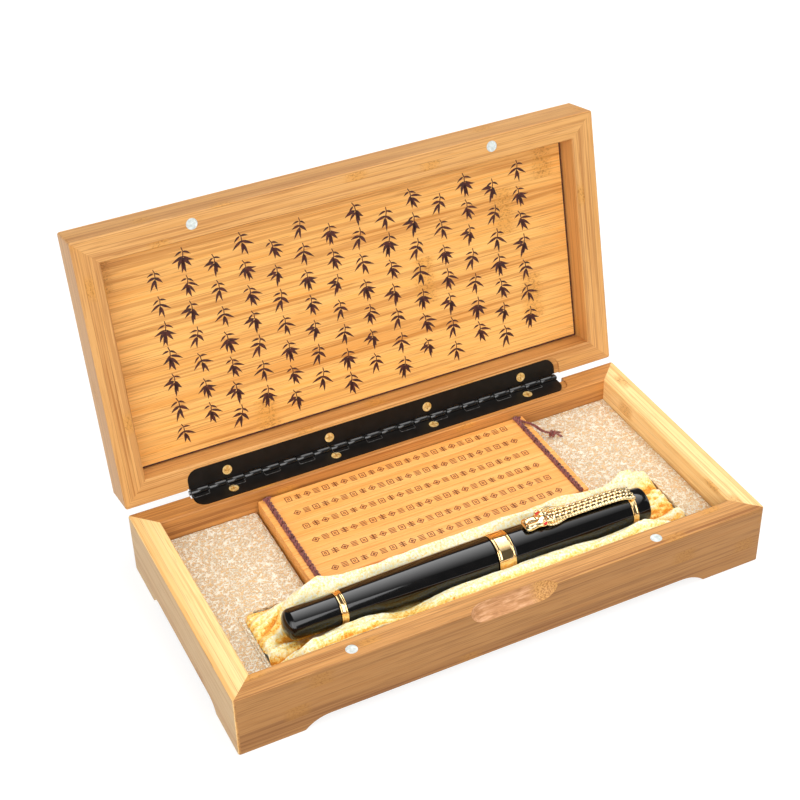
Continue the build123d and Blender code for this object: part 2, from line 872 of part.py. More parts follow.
def make_clip():
    root_low = clip_root_height - clip_root_depth
    brow_start = clip_tip + clip_brow_length
    brow_top = clip_head_top - clip_brow_drop
    foot_start = clip_tip + clip_snout_slope
    foot_end = foot_start + clip_foot_length
    side = Polyline(
        (cap_ring_end, root_low),
        (cap_ring_end, clip_root_height),
        (cap_end - clip_root_slope, clip_top),
        (clip_head_end + clip_neck_slope, clip_top),
        (clip_head_end, clip_head_top),
        (brow_start, brow_top),
        (clip_tip, clip_foot + clip_snout_height),
        (foot_start, clip_foot),
        (foot_end, clip_foot),
        (foot_end + clip_throat_slope, clip_underside),
        (cap_end - clip_root_slope - clip_root_bend, clip_underside),
        (cap_end - clip_root_bend, root_low),
        close=True,
    )
    body = extrude(Rot(90, 0, 0) * make_face(side), amount=clip_width / 2, both=True)
    ring_start = cap_end - clip_ring_play
    ring_stop = cap_ring_end + clip_ring_play
    ring = turned(
        (ring_start, 0),
        (ring_start, cap_ring_radius),
        (ring_stop, cap_ring_radius),
        (ring_stop, 0),
    )
    brow = span(
        (brow_start, -clip_head_width / 2, clip_foot + clip_brow_lift),
        (clip_head_end, clip_head_width / 2, brow_top),
    )
    brow = fillet(brow.edges().filter_by(Axis.Z), clip_brow_rounding)
    clip = body + brow - ring
    eyes = []
    for side in (-1, 1):
        bead = Pos(eye_place, side * eye_spread / 2, eye_height) * Sphere(eye_radius)
        clip -= bead
        eyes.append(pen_place * bead)
    keep("cap_clip", pen_place * clip)
    keep("clip_eyes", Compound(eyes))


make_box()
make_lid()
make_lining()
make_book()
make_barrel()
make_section()
make_converter()
make_cap()
make_clip()

os.makedirs("parts", exist_ok=True)
for name, shape in parts.items():
    export_step(Pos(0, row_shift, 0) * shape, f"parts/{name}.step")
print(len(parts), "nodes, moved by", round(row_shift, 3))
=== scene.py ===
import random
from math import cos, exp, hypot, pi, radians, sin, sqrt, tau

import bmesh
import bpy
from mathutils import Matrix, Vector, noise


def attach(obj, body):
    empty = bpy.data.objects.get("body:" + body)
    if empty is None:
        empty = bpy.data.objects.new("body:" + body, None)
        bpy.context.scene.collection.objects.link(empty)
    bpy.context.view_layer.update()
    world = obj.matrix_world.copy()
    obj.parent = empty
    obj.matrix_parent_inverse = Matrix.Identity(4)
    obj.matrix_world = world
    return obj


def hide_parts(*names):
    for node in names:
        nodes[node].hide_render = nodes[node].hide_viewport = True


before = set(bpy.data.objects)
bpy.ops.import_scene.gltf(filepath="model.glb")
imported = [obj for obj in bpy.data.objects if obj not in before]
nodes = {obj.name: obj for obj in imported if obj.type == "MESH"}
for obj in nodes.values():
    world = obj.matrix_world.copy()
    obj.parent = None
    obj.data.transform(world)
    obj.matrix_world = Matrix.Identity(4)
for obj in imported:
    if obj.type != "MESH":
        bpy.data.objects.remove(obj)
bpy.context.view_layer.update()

# A bamboo pen box, open, with a capped pen on silk and a corded book of bamboo slips.
# Sizes in the dictionaries are millimetres from the middle of the box; mesh() turns them into metres.

backShift = -21.346  # from the middle of the box to the middle of the open part

box = {"length": 220.0, "depth": 110.0}
hinge = {"y": 56.2, "z": 27.2, "opening": 102.9}
pen = {"tailX": -77.1, "tailY": -27.5, "height": 25.0, "yaw": -0.88}

toRow = Matrix.Diagonal((0.001, 0.001, 0.001, 1)) @ Matrix.Translation((0, backShift, 0))
lidTurn = (
    Matrix.Translation((0, hinge["y"], hinge["z"]))
    @ Matrix.Rotation(radians(-hinge["opening"]), 4, "X")
    @ Matrix.Translation((0, -hinge["y"], -hinge["z"]))
)
penPlace = (
    Matrix.Translation((pen["tailX"], pen["tailY"], pen["height"]))
    @ Matrix.Rotation(radians(pen["yaw"]), 4, "Z")
)


def paint(code):
    # A colour as a paint chart writes it, turned into the values that a shader takes
    parts = [int(code[k:k + 2], 16) / 255 for k in (0, 2, 4)]
    return tuple(p / 12.92 if p <= 0.04045 else ((p + 0.055) / 1.055) ** 2.4 for p in parts) + (1.0,)


class Wire:  # one socket that can be calculated with: each sum adds its Math node
    def __init__(self, recipe, socket):
        self.recipe, self.socket = recipe, socket

    def sum(self, operation, first, second=0.0):
        return self.recipe.add("ShaderNodeMath", {"operation": operation}, {0: first, 1: second})

    def __add__(self, other):
        return self.sum("ADD", self, other)

    def __radd__(self, other):
        return self.sum("ADD", other, self)

    def __sub__(self, other):
        return self.sum("SUBTRACT", self, other)

    def __rsub__(self, other):
        return self.sum("SUBTRACT", other, self)

    def __mul__(self, other):
        return self.sum("MULTIPLY", self, other)

    def __rmul__(self, other):
        return self.sum("MULTIPLY", other, self)

    def __truediv__(self, other):
        return self.sum("DIVIDE", self, other)

    def __pow__(self, other):
        return self.sum("POWER", self, other)

    def __abs__(self):
        return self.sum("ABSOLUTE", self)

    def floor(self):
        return self.sum("FLOOR", self)

    def most(self, other):
        return self.sum("MAXIMUM", self, other)

    def spread(self, low, high, start=0.0, end=1.0):
        # Carries low..high over to start..end and holds it there
        values = {"Value": self, "From Min": low, "From Max": high, "To Min": start, "To Max": end}
        return self.recipe.add("ShaderNodeMapRange", {"interpolation_type": "SMOOTHSTEP"}, values)


class Recipe:  # a node tree that is written from top to bottom
    def __init__(self, tree):
        self.tree = tree

    def add(self, kind, settings=None, inputs=None, output=0):
        node = self.tree.nodes.new(kind)
        for name, value in (settings or {}).items():
            if name == "stops":
                ramp = node.color_ramp
                while len(ramp.elements) < len(value):
                    ramp.elements.new(0.5)
                for element, (place, colour) in zip(ramp.elements, value):
                    element.position = place
                    element.color = colour
            else:
                setattr(node, name, value)
        for name, value in (inputs or {}).items():
            if isinstance(value, Wire):
                self.tree.links.new(value.socket, node.inputs[name])
            else:
                node.inputs[name].default_value = value
        return Wire(self, node.outputs[output]) if node.outputs else None

    def out(self, wire, name):
        # Another output of the node that made the wire
        return Wire(self, wire.socket.node.outputs[name])

    def place(self, look=None):
        # Object coordinates, turned into the piece's own directions
        spot = self.add("ShaderNodeTexCoord", output="Object")
        if look:
            values = {"Vector": spot, "Location": look["origin"], "Rotation": look["turn"]}
            spot = self.add("ShaderNodeMapping", {"vector_type": "TEXTURE"}, values)
        return spot

    def split(self, vector):
        x = self.add("ShaderNodeSeparateXYZ", None, {0: vector})
        return x, self.out(x, 1), self.out(x, 2)

    def join(self, x, y, z):
        return self.add("ShaderNodeCombineXYZ", None, {0: x, 1: y, 2: z})

    def cloud(self, vector, scale=1.0, detail=2.0, roughness=0.5, distortion=0.0):
        return self.add("ShaderNodeTexNoise", None, {
            "Vector": vector, "Scale": scale, "Detail": detail, "Roughness": roughness,
            "Distortion": distortion,
        })

    def dice(self, vector):
        return self.add("ShaderNodeTexWhiteNoise", None, {"Vector": vector})

    def ramp(self, factor, *stops):
        return self.add("ShaderNodeValToRGB", {"stops": stops}, {0: factor})

    def mix(self, factor, first, second):
        return self.add("ShaderNodeMix", {"data_type": "RGBA"}, {0: factor, 6: first, 7: second}, output=2)

    def bump(self, height, distance, strength):
        inputs = {"Height": height, "Distance": distance, "Strength": strength}
        return self.add("ShaderNodeBump", None, inputs)

    def finish(self, **sockets):
        inputs = {name.replace("_", " "): value for name, value in sockets.items()}
        shader = self.add("ShaderNodeBsdfPrincipled", None, inputs)
        self.add("ShaderNodeOutputMaterial", None, {"Surface": shader})


def newFinish(name):
    material = bpy.data.materials.new(name)
    material.use_nodes = True
    material.node_tree.nodes.clear()
    return material, Recipe(material.node_tree)


def coat(piece, material):
    piece.data.materials.clear()
    piece.data.materials.append(material)


def mesh(name, points, faces, place=None, smooth=True, sharp=35.0):
    # A new piece from millimetre points; place is applied before the move into the row frame
    data = bpy.data.meshes.new(name)
    data.from_pydata([tuple(p) for p in points], [], faces)
    data.transform(toRow @ (place or Matrix.Identity(4)))
    data.validate()
    piece = bpy.data.objects.new(name, data)
    bpy.context.scene.collection.objects.link(piece)
    if smooth:
        data.shade_smooth()
        data.set_sharp_from_angle(angle=radians(sharp))
    return piece


def turnOutwards(data, merge=False):
    # Faces outwards, after the doubles of closed poles are merged
    work = bmesh.new()
    work.from_mesh(data)
    if merge:
        bmesh.ops.remove_doubles(work, verts=work.verts, dist=1e-7)
    bmesh.ops.recalc_face_normals(work, faces=work.faces)
    work.to_mesh(data)
    work.free()


def settle(piece, body, slot, material, *stoodFor):
    coat(piece, material)
    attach(piece, body)
    if stoodFor:
        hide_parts(*stoodFor)


def through(points, x):
    # A smooth line through (x, value) points
    if x <= points[0][0]:
        return points[0][1]
    for k in range(len(points) - 1):
        (x0, y0), (x1, y1) = points[k], points[k + 1]
        if x <= x1:
            before = points[k - 1] if k else points[k]
            after = points[k + 2] if k + 2 < len(points) else points[k + 1]
            gap = x1 - x0
            rise0 = (y1 - before[1]) / (x1 - before[0]) * gap
            rise1 = (after[1] - y0) / (after[0] - x0) * gap
            t = (x - x0) / gap
            a = 2 * t**3 - 3 * t**2 + 1
            b = t**3 - 2 * t**2 + t
            c = 3 * t**2 - 2 * t**3
            d = t**3 - t**2
            return a * y0 + b * rise0 + c * y1 + d * rise1
    return points[-1][1]


def ease(low, high, x):
    t = min(max((x - low) / (high - low), 0), 1)
    return t * t * (3 - 2 * t)


# Finishes

bambooLook = {
    "light": "E2B070",
    "middle": "CF9651",
    "streak": "A96C30",
    "dark": "7F4A1E",
    "layer": 0.00335,  # thickness of one glued layer of a wall
    "strip": 0.0058,  # height of one strip in a layer
    "nodeSpacing": 0.19,
    "gloss": 0.4,
}
frontLook = dict(bambooLook, light="E6AF6A", middle="CA8C48", streak="8E5722", dark="5E3412")
backLook = dict(bambooLook, light="D99B56", middle="BF803E", streak="8C5424")
shortLook = dict(bambooLook, light="FFE4A8", middle="FDD38E", streak="DFA65E")
panelLook = dict(bambooLook, light="FCCB7C", middle="EAA650", streak="B87228", layer=0.0048, strip=0.02)


def bambooFinish(name, look, origin, turn, scoop=None):
    # Boards glued from strips that run along u; v is the way through the wall and w is its height
    material, r = newFinish(name)
    u, v, w = r.split(r.place({"origin": origin, "turn": turn}))
    layer = (v / look["layer"]).floor()
    strip = (w / look["strip"] + layer * 0.37).floor()
    luck = r.dice(r.join(layer, strip, 3.0))
    luck2 = r.dice(r.join(strip, layer, 8.0))
    along = u + luck * 0.7
    fibre = r.cloud(r.join(along * 26.0, v * 1500.0, w * 1500.0), 1.0, 3.0, 0.62)
    grain = r.cloud(r.join(along * 9.0, v * 640.0, w * 640.0), 1.0, 2.0, 0.6, 0.4)
    wide = r.cloud(r.join(along * 4.0, v * 90.0, w * 90.0), 1.0, 2.0, 0.5)
    colour = r.ramp(fibre * 0.5 + grain * 0.5, (0.36, paint(look["middle"])), (0.6, paint(look["light"])))
    streak = grain.spread(0.5, 0.62) * 0.55 + wide.spread(0.48, 0.66) * 0.35
    colour = r.mix(streak, colour, paint(look["streak"]))
    colour = r.mix(fibre.spread(0.52, 0.62) * 0.5, colour, paint(look["streak"]))
    colour = r.mix(luck * 0.2, colour, paint(look["streak"]))
    vessels = r.cloud(r.join(along * 70.0, v * 3300.0, w * 3300.0), 1.0, 1.0)
    colour = r.mix(vessels.spread(0.64, 0.74) * 0.45, colour, paint(look["dark"]))

    # The rings of the cane: a golden band with dark specks where a strip crosses one
    turns = along / look["nodeSpacing"] + luck2
    ring = abs(turns - turns.floor() - 0.5) * look["nodeSpacing"]
    wobble = r.cloud(r.join(u * 200.0, v * 700.0, w * 700.0), 1.0, 2.0) * 0.004
    band = 1.0 - (ring + wobble).spread(0.0035, 0.0085)
    specks = r.cloud(r.join(u * 900.0, v * 1500.0, w * 1500.0), 1.0, 2.0, 0.7)
    colour = r.mix(band * 0.5, colour, paint("D0923C"))
    colour = r.mix(band * specks.spread(0.5, 0.64) * 0.5, colour, paint("8A5420"))

    seamV = abs(v / look["layer"] - (v / look["layer"] + 0.5).floor()) * look["layer"]
    seam = 1.0 - seamV.spread(0.00004, 0.00016)
    colour = r.mix(seam * 0.4, colour, paint(look["dark"]))
    rough = look["gloss"] + fibre * 0.16
    if scoop:
        # The thumb notch is cut across the fibres: pinkish and fine, with the vessels' ends at its right
        beyond = (abs(u) - scoop["half"]).most(0.0)
        across = v - scoop["y"]
        up = w - scoop["z"]
        reach = (beyond * beyond + across * across + up * up) ** 0.5
        cut = 1.0 - (reach - scoop["radius"]).spread(0.00003, 0.0001)
        mottled = r.cloud(r.join(u * 150.0, v * 900.0, w * 900.0), 1.0, 3.0, 0.65, 0.4)
        cutColour = r.ramp(mottled, (0.34, paint("A87548")), (0.5, paint("C08A5C")), (0.68, paint("D6A67C")))
        dots = r.cloud(r.join(u * 1500.0, v * 1700.0, w * 1700.0), 1.0, 1.0, 0.5)
        dotColour = r.ramp(dots, (0.4, paint("A8743C")), (0.58, paint("CC9858")))
        cutColour = r.mix(u.spread(0.006, 0.012), cutColour, dotColour)
        colour = r.mix(cut, colour, cutColour)
        rough = rough + cut * 0.2
    normal = r.bump(fibre * 0.6 + grain * 0.4 - seam * 0.5, 0.00004, 0.55)
    r.finish(
        Base_Color=colour, Roughness=rough, Normal=normal, Specular_IOR_Level=0.35, Coat_Weight=0.12,
        Coat_Roughness=0.25,
    )
    return material


def boardTurn(axis, inLid):
    # Which way a board lies: "Z" where its strips run along y, "X" where its layers lie flat
    turn = Matrix.Rotation(radians(90), 3, axis) if axis else Matrix.Identity(3)
    if inLid:
        turn = Matrix.Rotation(radians(-hinge["opening"]), 3, "X") @ turn
    return tuple(turn.to_euler())


def rowPoint(x, y, z):
    return tuple(toRow @ Vector((x, y, z)))


def paperFinish():
    # Embossed pearl paper: raised worms on tan, their ridges painted pale as highlight and the tan between
    # them painted shade
    material, r = newFinish("pearlPaper")
    spot = r.place()
    warp = r.cloud(spot, 420.0, 2.0)
    bent = r.add("ShaderNodeVectorMath", {"operation": "ADD"}, {
        0: spot,
        1: r.add("ShaderNodeVectorMath", {"operation": "SCALE"}, {0: r.out(warp, "Color"), "Scale": 0.0012}),
    })
    first = abs(r.cloud(bent, 540.0, 1.0) - 0.5)
    second = abs(r.cloud(bent, 880.0, 1.0, 0.5, 0.3) - 0.5)
    wormsAndHighlight = (1.0 - first.spread(0.0, 0.085)).most((1.0 - second.spread(0.0, 0.07)) * 0.8)
    grit = r.cloud(spot, 4200.0, 2.0)
    # The worms' ridges get painted highlight, and the tan between them is painted shade
    colour = r.ramp(wormsAndHighlight, (0.0, paint("E2BD88")), (0.3, paint("F6DBAE")), (0.7, paint("FFFAE8")))
    colour = r.mix(grit.spread(0.5, 0.7) * 0.4, colour, paint("FFF8EA"))
    colour = r.mix(r.cloud(spot, 1500.0, 2.0).spread(0.56, 0.7) * 0.25, colour, paint("C29A66"))
    normal = r.bump(wormsAndHighlight + grit * 0.2, 0.0004, 0.9)
    r.finish(Base_Color=colour, Roughness=0.42, Normal=normal, Specular_IOR_Level=0.4)
    return material


def silkFinish():
    # Satin: painted highlight on the folds and painted shade between them, by the piece's foldShade attribute
    material, r = newFinish("yellowSilk")
    spot = r.place()
    shade = r.add("ShaderNodeAttribute", {"attribute_name": "foldShade"}, None, output="Fac")
    u, v, w = r.split(spot)
    weft = r.cloud(r.join(u * 1700.0, v * 620.0, w * 900.0), 1.0, 2.0, 0.6)
    warp = r.cloud(r.join(u * 520.0, v * 1900.0, w * 1900.0), 1.0, 2.0, 0.6)
    brocade = r.cloud(spot, 700.0, 3.0, 0.7, 0.6).spread(0.46, 0.56)
    sparkle = r.cloud(spot, 1050.0, 3.0, 0.75)
    patch = r.cloud(spot, 160.0, 2.0)
    weave = (weft - 0.5) * 0.9 + (warp - 0.5) * 0.7 + (sparkle - 0.5) * (1.7 + brocade * 1.6)
    # Painted highlight on the crests and painted shade in the hollows, with the weave's own pattern on top
    level = shade * 0.82 + weave * 0.75 + patch * 0.2 - 0.12
    colour = r.ramp(
        level,
        (0.06, paint("E2911B")),
        (0.22, paint("FABA42")),
        (0.38, paint("FFD369")),
        (0.55, paint("FFE28C")),
        (0.74, paint("FFEFB0")),
        (0.94, paint("FFFBE2")),
    )
    normal = r.bump(weft + warp + sparkle * 1.5, 0.00016, 0.9)
    r.finish(
        Base_Color=colour, Roughness=0.4 + weft * 0.18, Normal=normal, Specular_IOR_Level=0.5,
        Sheen_Weight=0.3, Sheen_Roughness=0.35,
    )
    return material


book = {
    "middle": -0.5, "length": 119.5, "front": -9.3, "back": 44.2, "bottom": 9.3, "thick": 1.95, "step": 2.27,
    "pitch": 8.95, "slips": 6, "leaves": 6, "cordInset": 3.35,
}


def slipFinish():
    # Amber bamboo: each slip has its own tone, with long dark fibres
    material, r = newFinish("amberSlips")
    u, v, w = r.split(r.place())
    slip = ((v - (book["front"] + backShift) / 1000) / (book["pitch"] / 1000)).floor()
    level = (w / (book["step"] / 1000)).floor()
    luck = r.dice(r.join(slip, level, 1.0))
    along = u + luck * 0.5
    fibre = r.cloud(r.join(along * 45.0, v * 2600.0, w * 2600.0), 1.0, 3.0, 0.6)
    grain = r.cloud(r.join(along * 12.0, v * 520.0, w * 520.0), 1.0, 2.0, 0.5)
    colour = r.ramp(
        fibre * 0.55 + grain * 0.45,
        (0.3, paint("E29540")),
        (0.52, paint("F6B260")),
        (0.7, paint("FFC97E")),
    )
    colour = r.mix(luck * 0.35, colour, paint("E4943F"))
    dashes = r.cloud(r.join(along * 150.0, v * 5200.0, w * 5200.0), 1.0, 1.0)
    colour = r.mix(dashes.spread(0.62, 0.72) * 0.4, colour, paint("A65B1E"))
    normal = r.bump(fibre, 0.00003, 0.5)
    r.finish(
        Base_Color=colour, Roughness=0.4 + fibre * 0.15, Normal=normal, Coat_Weight=0.15,
        Coat_Roughness=0.25,
    )
    return material


def burntAndGapShadeFinish():
    # Burnt marks of the panel's sprigs; the same dark colour is painted shade in the gap round the panel
    material, r = newFinish("burntMarkAndGapShade")
    spot = r.place()
    patch = r.cloud(spot, 900.0, 2.0)
    colour = r.ramp(patch, (0.35, paint("2E100C")), (0.7, paint("5A2418")))
    r.finish(Base_Color=colour, Roughness=0.55 + patch * 0.2)
    return material


def inkFinish():
    material, r = newFinish("brownInk")
    patch = r.cloud(r.place(), 1500.0, 2.0)
    colour = r.ramp(patch, (0.35, paint("6A2C12")), (0.7, paint("95501F")))
    r.finish(Base_Color=colour, Roughness=0.5 + patch * 0.2)
    return material


def lacquerFinish():
    material, r = newFinish("blackLacquer")
    spot = r.place()
    haze = r.cloud(spot, 260.0, 3.0, 0.6)
    fine = r.cloud(spot, 2600.0, 2.0)
    colour = r.ramp(haze, (0.3, paint("050505")), (0.7, paint("0A0909")))
    r.finish(
        Base_Color=colour, Roughness=0.05 + haze * 0.04, IOR=1.5, Normal=r.bump(fine, 0.000003, 0.12),
        Coat_Weight=0.3, Coat_IOR=1.5, Coat_Roughness=0.02,
    )
    return material


def goldFinish(name, rough, light, dark):
    material, r = newFinish(name)
    spot = r.place()
    haze = r.cloud(spot, 700.0, 3.0, 0.6)
    colour = r.ramp(haze, (0.3, paint(dark)), (0.7, paint(light)))
    parts = [part * k for part, k in zip(r.split(spot), (6000.0, 900.0, 900.0))]
    scratches = r.cloud(r.join(*parts), 1.0, 2.0)
    r.finish(
        Base_Color=colour, Metallic=1.0, Roughness=rough + haze * 0.08,
        Normal=r.bump(scratches, 0.000003, 0.3),
    )
    return material


def clipFinish():
    # Cast gold with dark recesses between its scales
    material, r = newFinish("castGold")
    haze = r.cloud(r.place(), 700.0, 3.0, 0.6)
    pocket = r.add("ShaderNodeAttribute", {"attribute_name": "pocket"}, None, output="Fac")
    colour = r.mix(pocket, r.ramp(haze, (0.3, paint("FEDF9E")), (0.7, paint("FFF0C8"))), paint("180E06"))
    r.finish(
        Base_Color=colour, Metallic=1.0, Roughness=0.13 + haze * 0.08 + pocket * 0.3,
        Normal=r.bump(haze, 0.000003, 0.3),
    )
    return material


def hingeFinish(name, rough, shine):
    material, r = newFinish(name)
    spot = r.place()
    haze = r.cloud(spot, 300.0, 3.0)
    peel = r.cloud(spot, 1400.0, 2.0)
    colour = r.ramp(haze, (0.3, paint("0D0C0B")), (0.7, paint("151312")))
    r.finish(
        Base_Color=colour, Roughness=rough + haze * 0.12, Specular_IOR_Level=shine,
        Normal=r.bump(peel, 0.00002, 0.2),
    )
    return material


def metalFinish(name, light, dark, rough, metallic=1.0):
    material, r = newFinish(name)
    haze = r.cloud(r.place(), 900.0, 3.0, 0.6)
    colour = r.ramp(haze, (0.35, paint(dark)), (0.65, paint(light)))
    r.finish(
        Base_Color=colour, Metallic=metallic, Roughness=rough + haze * 0.15,
        Normal=r.bump(haze, 0.00001, 0.4),
    )
    return material


def plasticFinish(name, light, dark, rough, **more):
    material, r = newFinish(name)
    haze = r.cloud(r.place(), 800.0, 3.0)
    colour = r.ramp(haze, (0.3, paint(dark)), (0.7, paint(light)))
    r.finish(Base_Color=colour, Roughness=rough + haze * 0.08, Normal=r.bump(haze, 0.000008, 0.3), **more)
    return material


def cordFinish():
    # Thread in three browns, with the fine rise of its fibres
    material, r = newFinish("brownCord")
    spot = r.place()
    twist = r.cloud(spot, 3600.0, 2.0, 0.6)
    patch = r.cloud(spot, 700.0, 2.0)
    colour = r.ramp(
        twist * 0.6 + patch * 0.4,
        (0.34, paint("4C1A18")),
        (0.5, paint("7C3530")),
        (0.68, paint("AC6656")),
    )
    r.finish(Base_Color=colour, Roughness=0.7, Normal=r.bump(twist, 0.00008, 0.8), Sheen_Weight=0.3)
    return material


def foamFinish():
    material, r = newFinish("greyFoam")
    cells = r.cloud(r.place(), 1800.0, 3.0, 0.7)
    colour = r.ramp(cells, (0.35, paint("B5AFA4")), (0.65, paint("DDD8CD")))
    r.finish(Base_Color=colour, Roughness=0.9, Normal=r.bump(cells, 0.0002, 0.8))
    return material


pivotRow = rowPoint(0, hinge["y"], hinge["z"])
frontRow = rowPoint(0, -box["depth"] / 2, 0)
leftRow = rowPoint(-box["length"] / 2, 0, 0)
thumbNotch = {"y": -0.0034, "z": 0.0276, "radius": 0.00745, "half": 0.0114}  # metres from frontRow

finishes = {
    "baseLong": bambooFinish("bambooBaseLong", backLook, frontRow, boardTurn(None, False)),
    "baseFront": bambooFinish("bambooBaseFront", frontLook, frontRow, boardTurn(None, False), thumbNotch),
    "baseShort": bambooFinish("bambooBaseShort", shortLook, leftRow, boardTurn("Z", False)),
    "lidLong": bambooFinish("bambooLidLong", bambooLook, pivotRow, boardTurn(None, True)),
    "lidShort": bambooFinish("bambooLidShort", bambooLook, pivotRow, boardTurn("Z", True)),
    "lidPanel": bambooFinish("bambooLidPanel", panelLook, pivotRow, boardTurn("X", True)),
    "basePanel": bambooFinish("bambooBasePanel", panelLook, frontRow, boardTurn("X", False)),
    "paper": paperFinish(),
    "silk": silkFinish(),
    "slips": slipFinish(),
    "burntAndGapShade": burntAndGapShadeFinish(),
    "ink": inkFinish(),
    "lacquer": lacquerFinish(),
    "gold": goldFinish("polishedGold", 0.03, "FFE2AE", "FACB82"),
    "clipGold": clipFinish(),
    "hinge": hingeFinish("blackHinge", 0.3, 0.22),
    "hingeBarrel": hingeFinish("blackBarrel", 0.06, 0.9),
    "brass": metalFinish("brassScrews", "FBE3A4", "D9AC56", 0.38, 0.55),
    "steel": metalFinish("pinSteel", "8E8E90", "4A4A4C", 0.3),
    # Grey metal for the lines round the hinge's slots: painted highlight on the slots' edges
    "slotEdgeHighlight": metalFinish("slotEdgeHighlightMetal", "6E6C6A", "3A3836", 0.35, 0.3),
    "magnet": metalFinish("nickelMagnets", "E2E8E6", "BCC6C4", 0.45, 0.3),
    "black": plasticFinish("blackPlastic", "0D0D0E", "060606", 0.14),
    "feed": plasticFinish("feedPlastic", "161616", "0B0B0B", 0.42),
    "clear": plasticFinish("clearTube", "EEF2F4", "DDE3E6", 0.06, Transmission_Weight=0.85, IOR=1.46),
    "enamel": plasticFinish("redEnamel", "E3101C", "B90812", 0.1, Coat_Weight=0.5),
    "cord": cordFinish(),
    "foam": foamFinish(),
}
print("finishes made")

nodeFinish = {
    "base_front_wall": "baseFront", "base_back_wall": "baseLong", "base_left_wall": "baseShort",
    "base_right_wall": "baseShort", "base_bottom_panel": "basePanel", "base_magnets": "magnet",
    "hinge_base_leaf": "hinge", "hinge_pin": "steel", "base_hinge_screws": "brass", "liner_board": "paper",
    "liner_foam": "foam", "pen_pad": "foam", "silk_lining": "silk", "lid_front_wall": "lidLong",
    "lid_back_wall": "lidLong", "lid_left_wall": "lidShort", "lid_right_wall": "lidShort",
    "lid_top_board": "lidPanel", "lid_inner_panel": "lidPanel", "lid_magnets": "magnet",
    "hinge_lid_leaf": "hinge", "lid_hinge_screws": "brass", "book_tail_cord": "cord",
    "barrel_end_cap": "lacquer", "barrel_end_ring": "gold", "pen_barrel": "lacquer", "grip_section": "black",
    "section_ring": "gold", "nib": "gold", "feed": "feed", "converter_tube": "clear",
    "converter_collar": "gold", "converter_knob": "black", "converter_piston": "feed",
    "cap_shell": "lacquer", "cap_centre_band": "gold", "cap_inner_liner": "feed", "cap_clip_ring": "gold",
    "cap_finial": "lacquer", "cap_screw": "steel", "cap_clip": "clipGold", "clip_eyes": "enamel",
}
for number in range(1, book["leaves"] + 1):
    nodeFinish[f"slip_leaf_{number}"] = "slips"
    nodeFinish[f"leaf_cords_{number}"] = "cord"
for name, key in nodeFinish.items():
    coat(nodes[name], finishes[key])
print("frame pieces coated")


# Camera

view = {"place": (-224.34, -435.604, 444.51), "lens": 74.774, "sensor": 36.0, "near": 0.01}
viewRight = Vector((0.89645706, -0.44259561, -0.02176848))
viewUp = Vector((0.27953469, 0.52670128, 0.80277401))
viewBack = Vector((-0.34383877, -0.72573748, 0.59588591))
camera = bpy.data.objects.new("camera", bpy.data.cameras.new("camera"))
bpy.context.scene.collection.objects.link(camera)
turn = Matrix((viewRight, viewUp, viewBack)).transposed().to_4x4()
camera.matrix_world = Matrix.Translation(toRow @ Vector(view["place"])) @ turn
camera.data.lens = view["lens"]
camera.data.sensor_width = view["sensor"]
camera.data.clip_start = view["near"]
bpy.context.scene.camera = camera


# Pen: turned pieces

def rounded(points, edges):
    # An outline of (station, radius) points; edges gives the rounding of the corners that have one
    outline = []
    count = len(points)
    for k, point in enumerate(points):
        size = edges.get(k, 0)
        if not size:
            outline.append(point)
            continue
        here, before, after = Vector(point), Vector(points[k - 1]), Vector(points[(k + 1) % count])
        start = here + (before - here).normalized() * size
        end = here + (after - here).normalized() * size
        outline.append(tuple(here + (before - here).normalized() * size * 1.6))
        for step in range(5):
            t = step / 4
            spot = start * (1 - t) ** 2 + here * 2 * t * (1 - t) + end * t**2
            outline.append(tuple(spot))
        outline.append(tuple(here + (after - here).normalized() * size * 1.6))
    return outline


def turned(name, outline, around=128):
    # A closed outline of (station, radius) points turned about the pen's axis
    points, rows = [], []
    for station, radius in outline:
        if radius < 1e-6:
            rows.append([len(points)])
            points.append((station, 0, 0))
        else:
            rows.append(list(range(len(points), len(points) + around)))
            for k in range(around):
                angle = tau * k / around
                points.append((station, radius * sin(angle), radius * cos(angle)))
    faces = []
    for row, after in zip(rows, rows[1:] + rows[:1]):
        for k in range(around):
            m = (k + 1) % around
            if len(row) == 1 and len(after) == 1:
                break
            if len(row) == 1:
                faces.append((row[0], after[k], after[m]))
            elif len(after) == 1:
                faces.append((row[k], after[0], row[m]))
            else:
                faces.append((row[k], after[k], after[m], row[m]))
    piece = mesh(name, points, faces, penPlace)
    turnOutwards(piece.data, merge=True)
    piece.data.shade_smooth()
    piece.data.set_sharp_from_angle(angle=radians(40))
    return piece


penSizes = {  # radii, and stations measured from the tail
    "length": 148.1, "dome": 2.9, "tailRadius": 5.86, "endCap": 17.85, "endCapRadius": 6.15,
    "spigotEnd": 23.5, "spigot": 4.6, "ringEnd": 20.5, "barrelRear": 6.65, "barrelMid": 57.0,
    "barrelMidRadius": 7.7, "barrelFront": 80.9, "barrelFrontRadius": 8.0, "barrelThread": 5.25,
    "barrelBore": 5.6, "bandStart": 81.2, "bandEnd": 88.3, "bandRadius": 8.25, "bandSeat": 7.65,
    "capMouth": 7.2, "capRadius": 8.1, "capEnd": 139.6, "capEndRadius": 7.35, "roof": 135.6, "roofBore": 6.45,
    "screwBore": 2.0, "screwDepth": 3.5, "capRingEnd": 142.2, "ringRadius": 7.55, "finialRadius": 7.3,
    "finialEndRadius": 7.0, "seat": 68.9, "nippleStart": 63.9, "nipple": 2.2, "feedBore": 0.9,
    "gripThread": 5.2, "gripRadius": 6.28, "gripTaper": 1.38, "collar": 2.0, "collarRadius": 6.6,
    "mouth": 101.1, "mouthRadius": 5.2, "mouthBore": 3.45, "nibBack": 91.1,
}


def barrelRadius(station):
    s = penSizes
    line = [
        (s["ringEnd"], s["barrelRear"]), (s["barrelMid"], s["barrelMidRadius"]),
        (s["barrelFront"], s["barrelFrontRadius"]),
    ]
    return through(line, station)


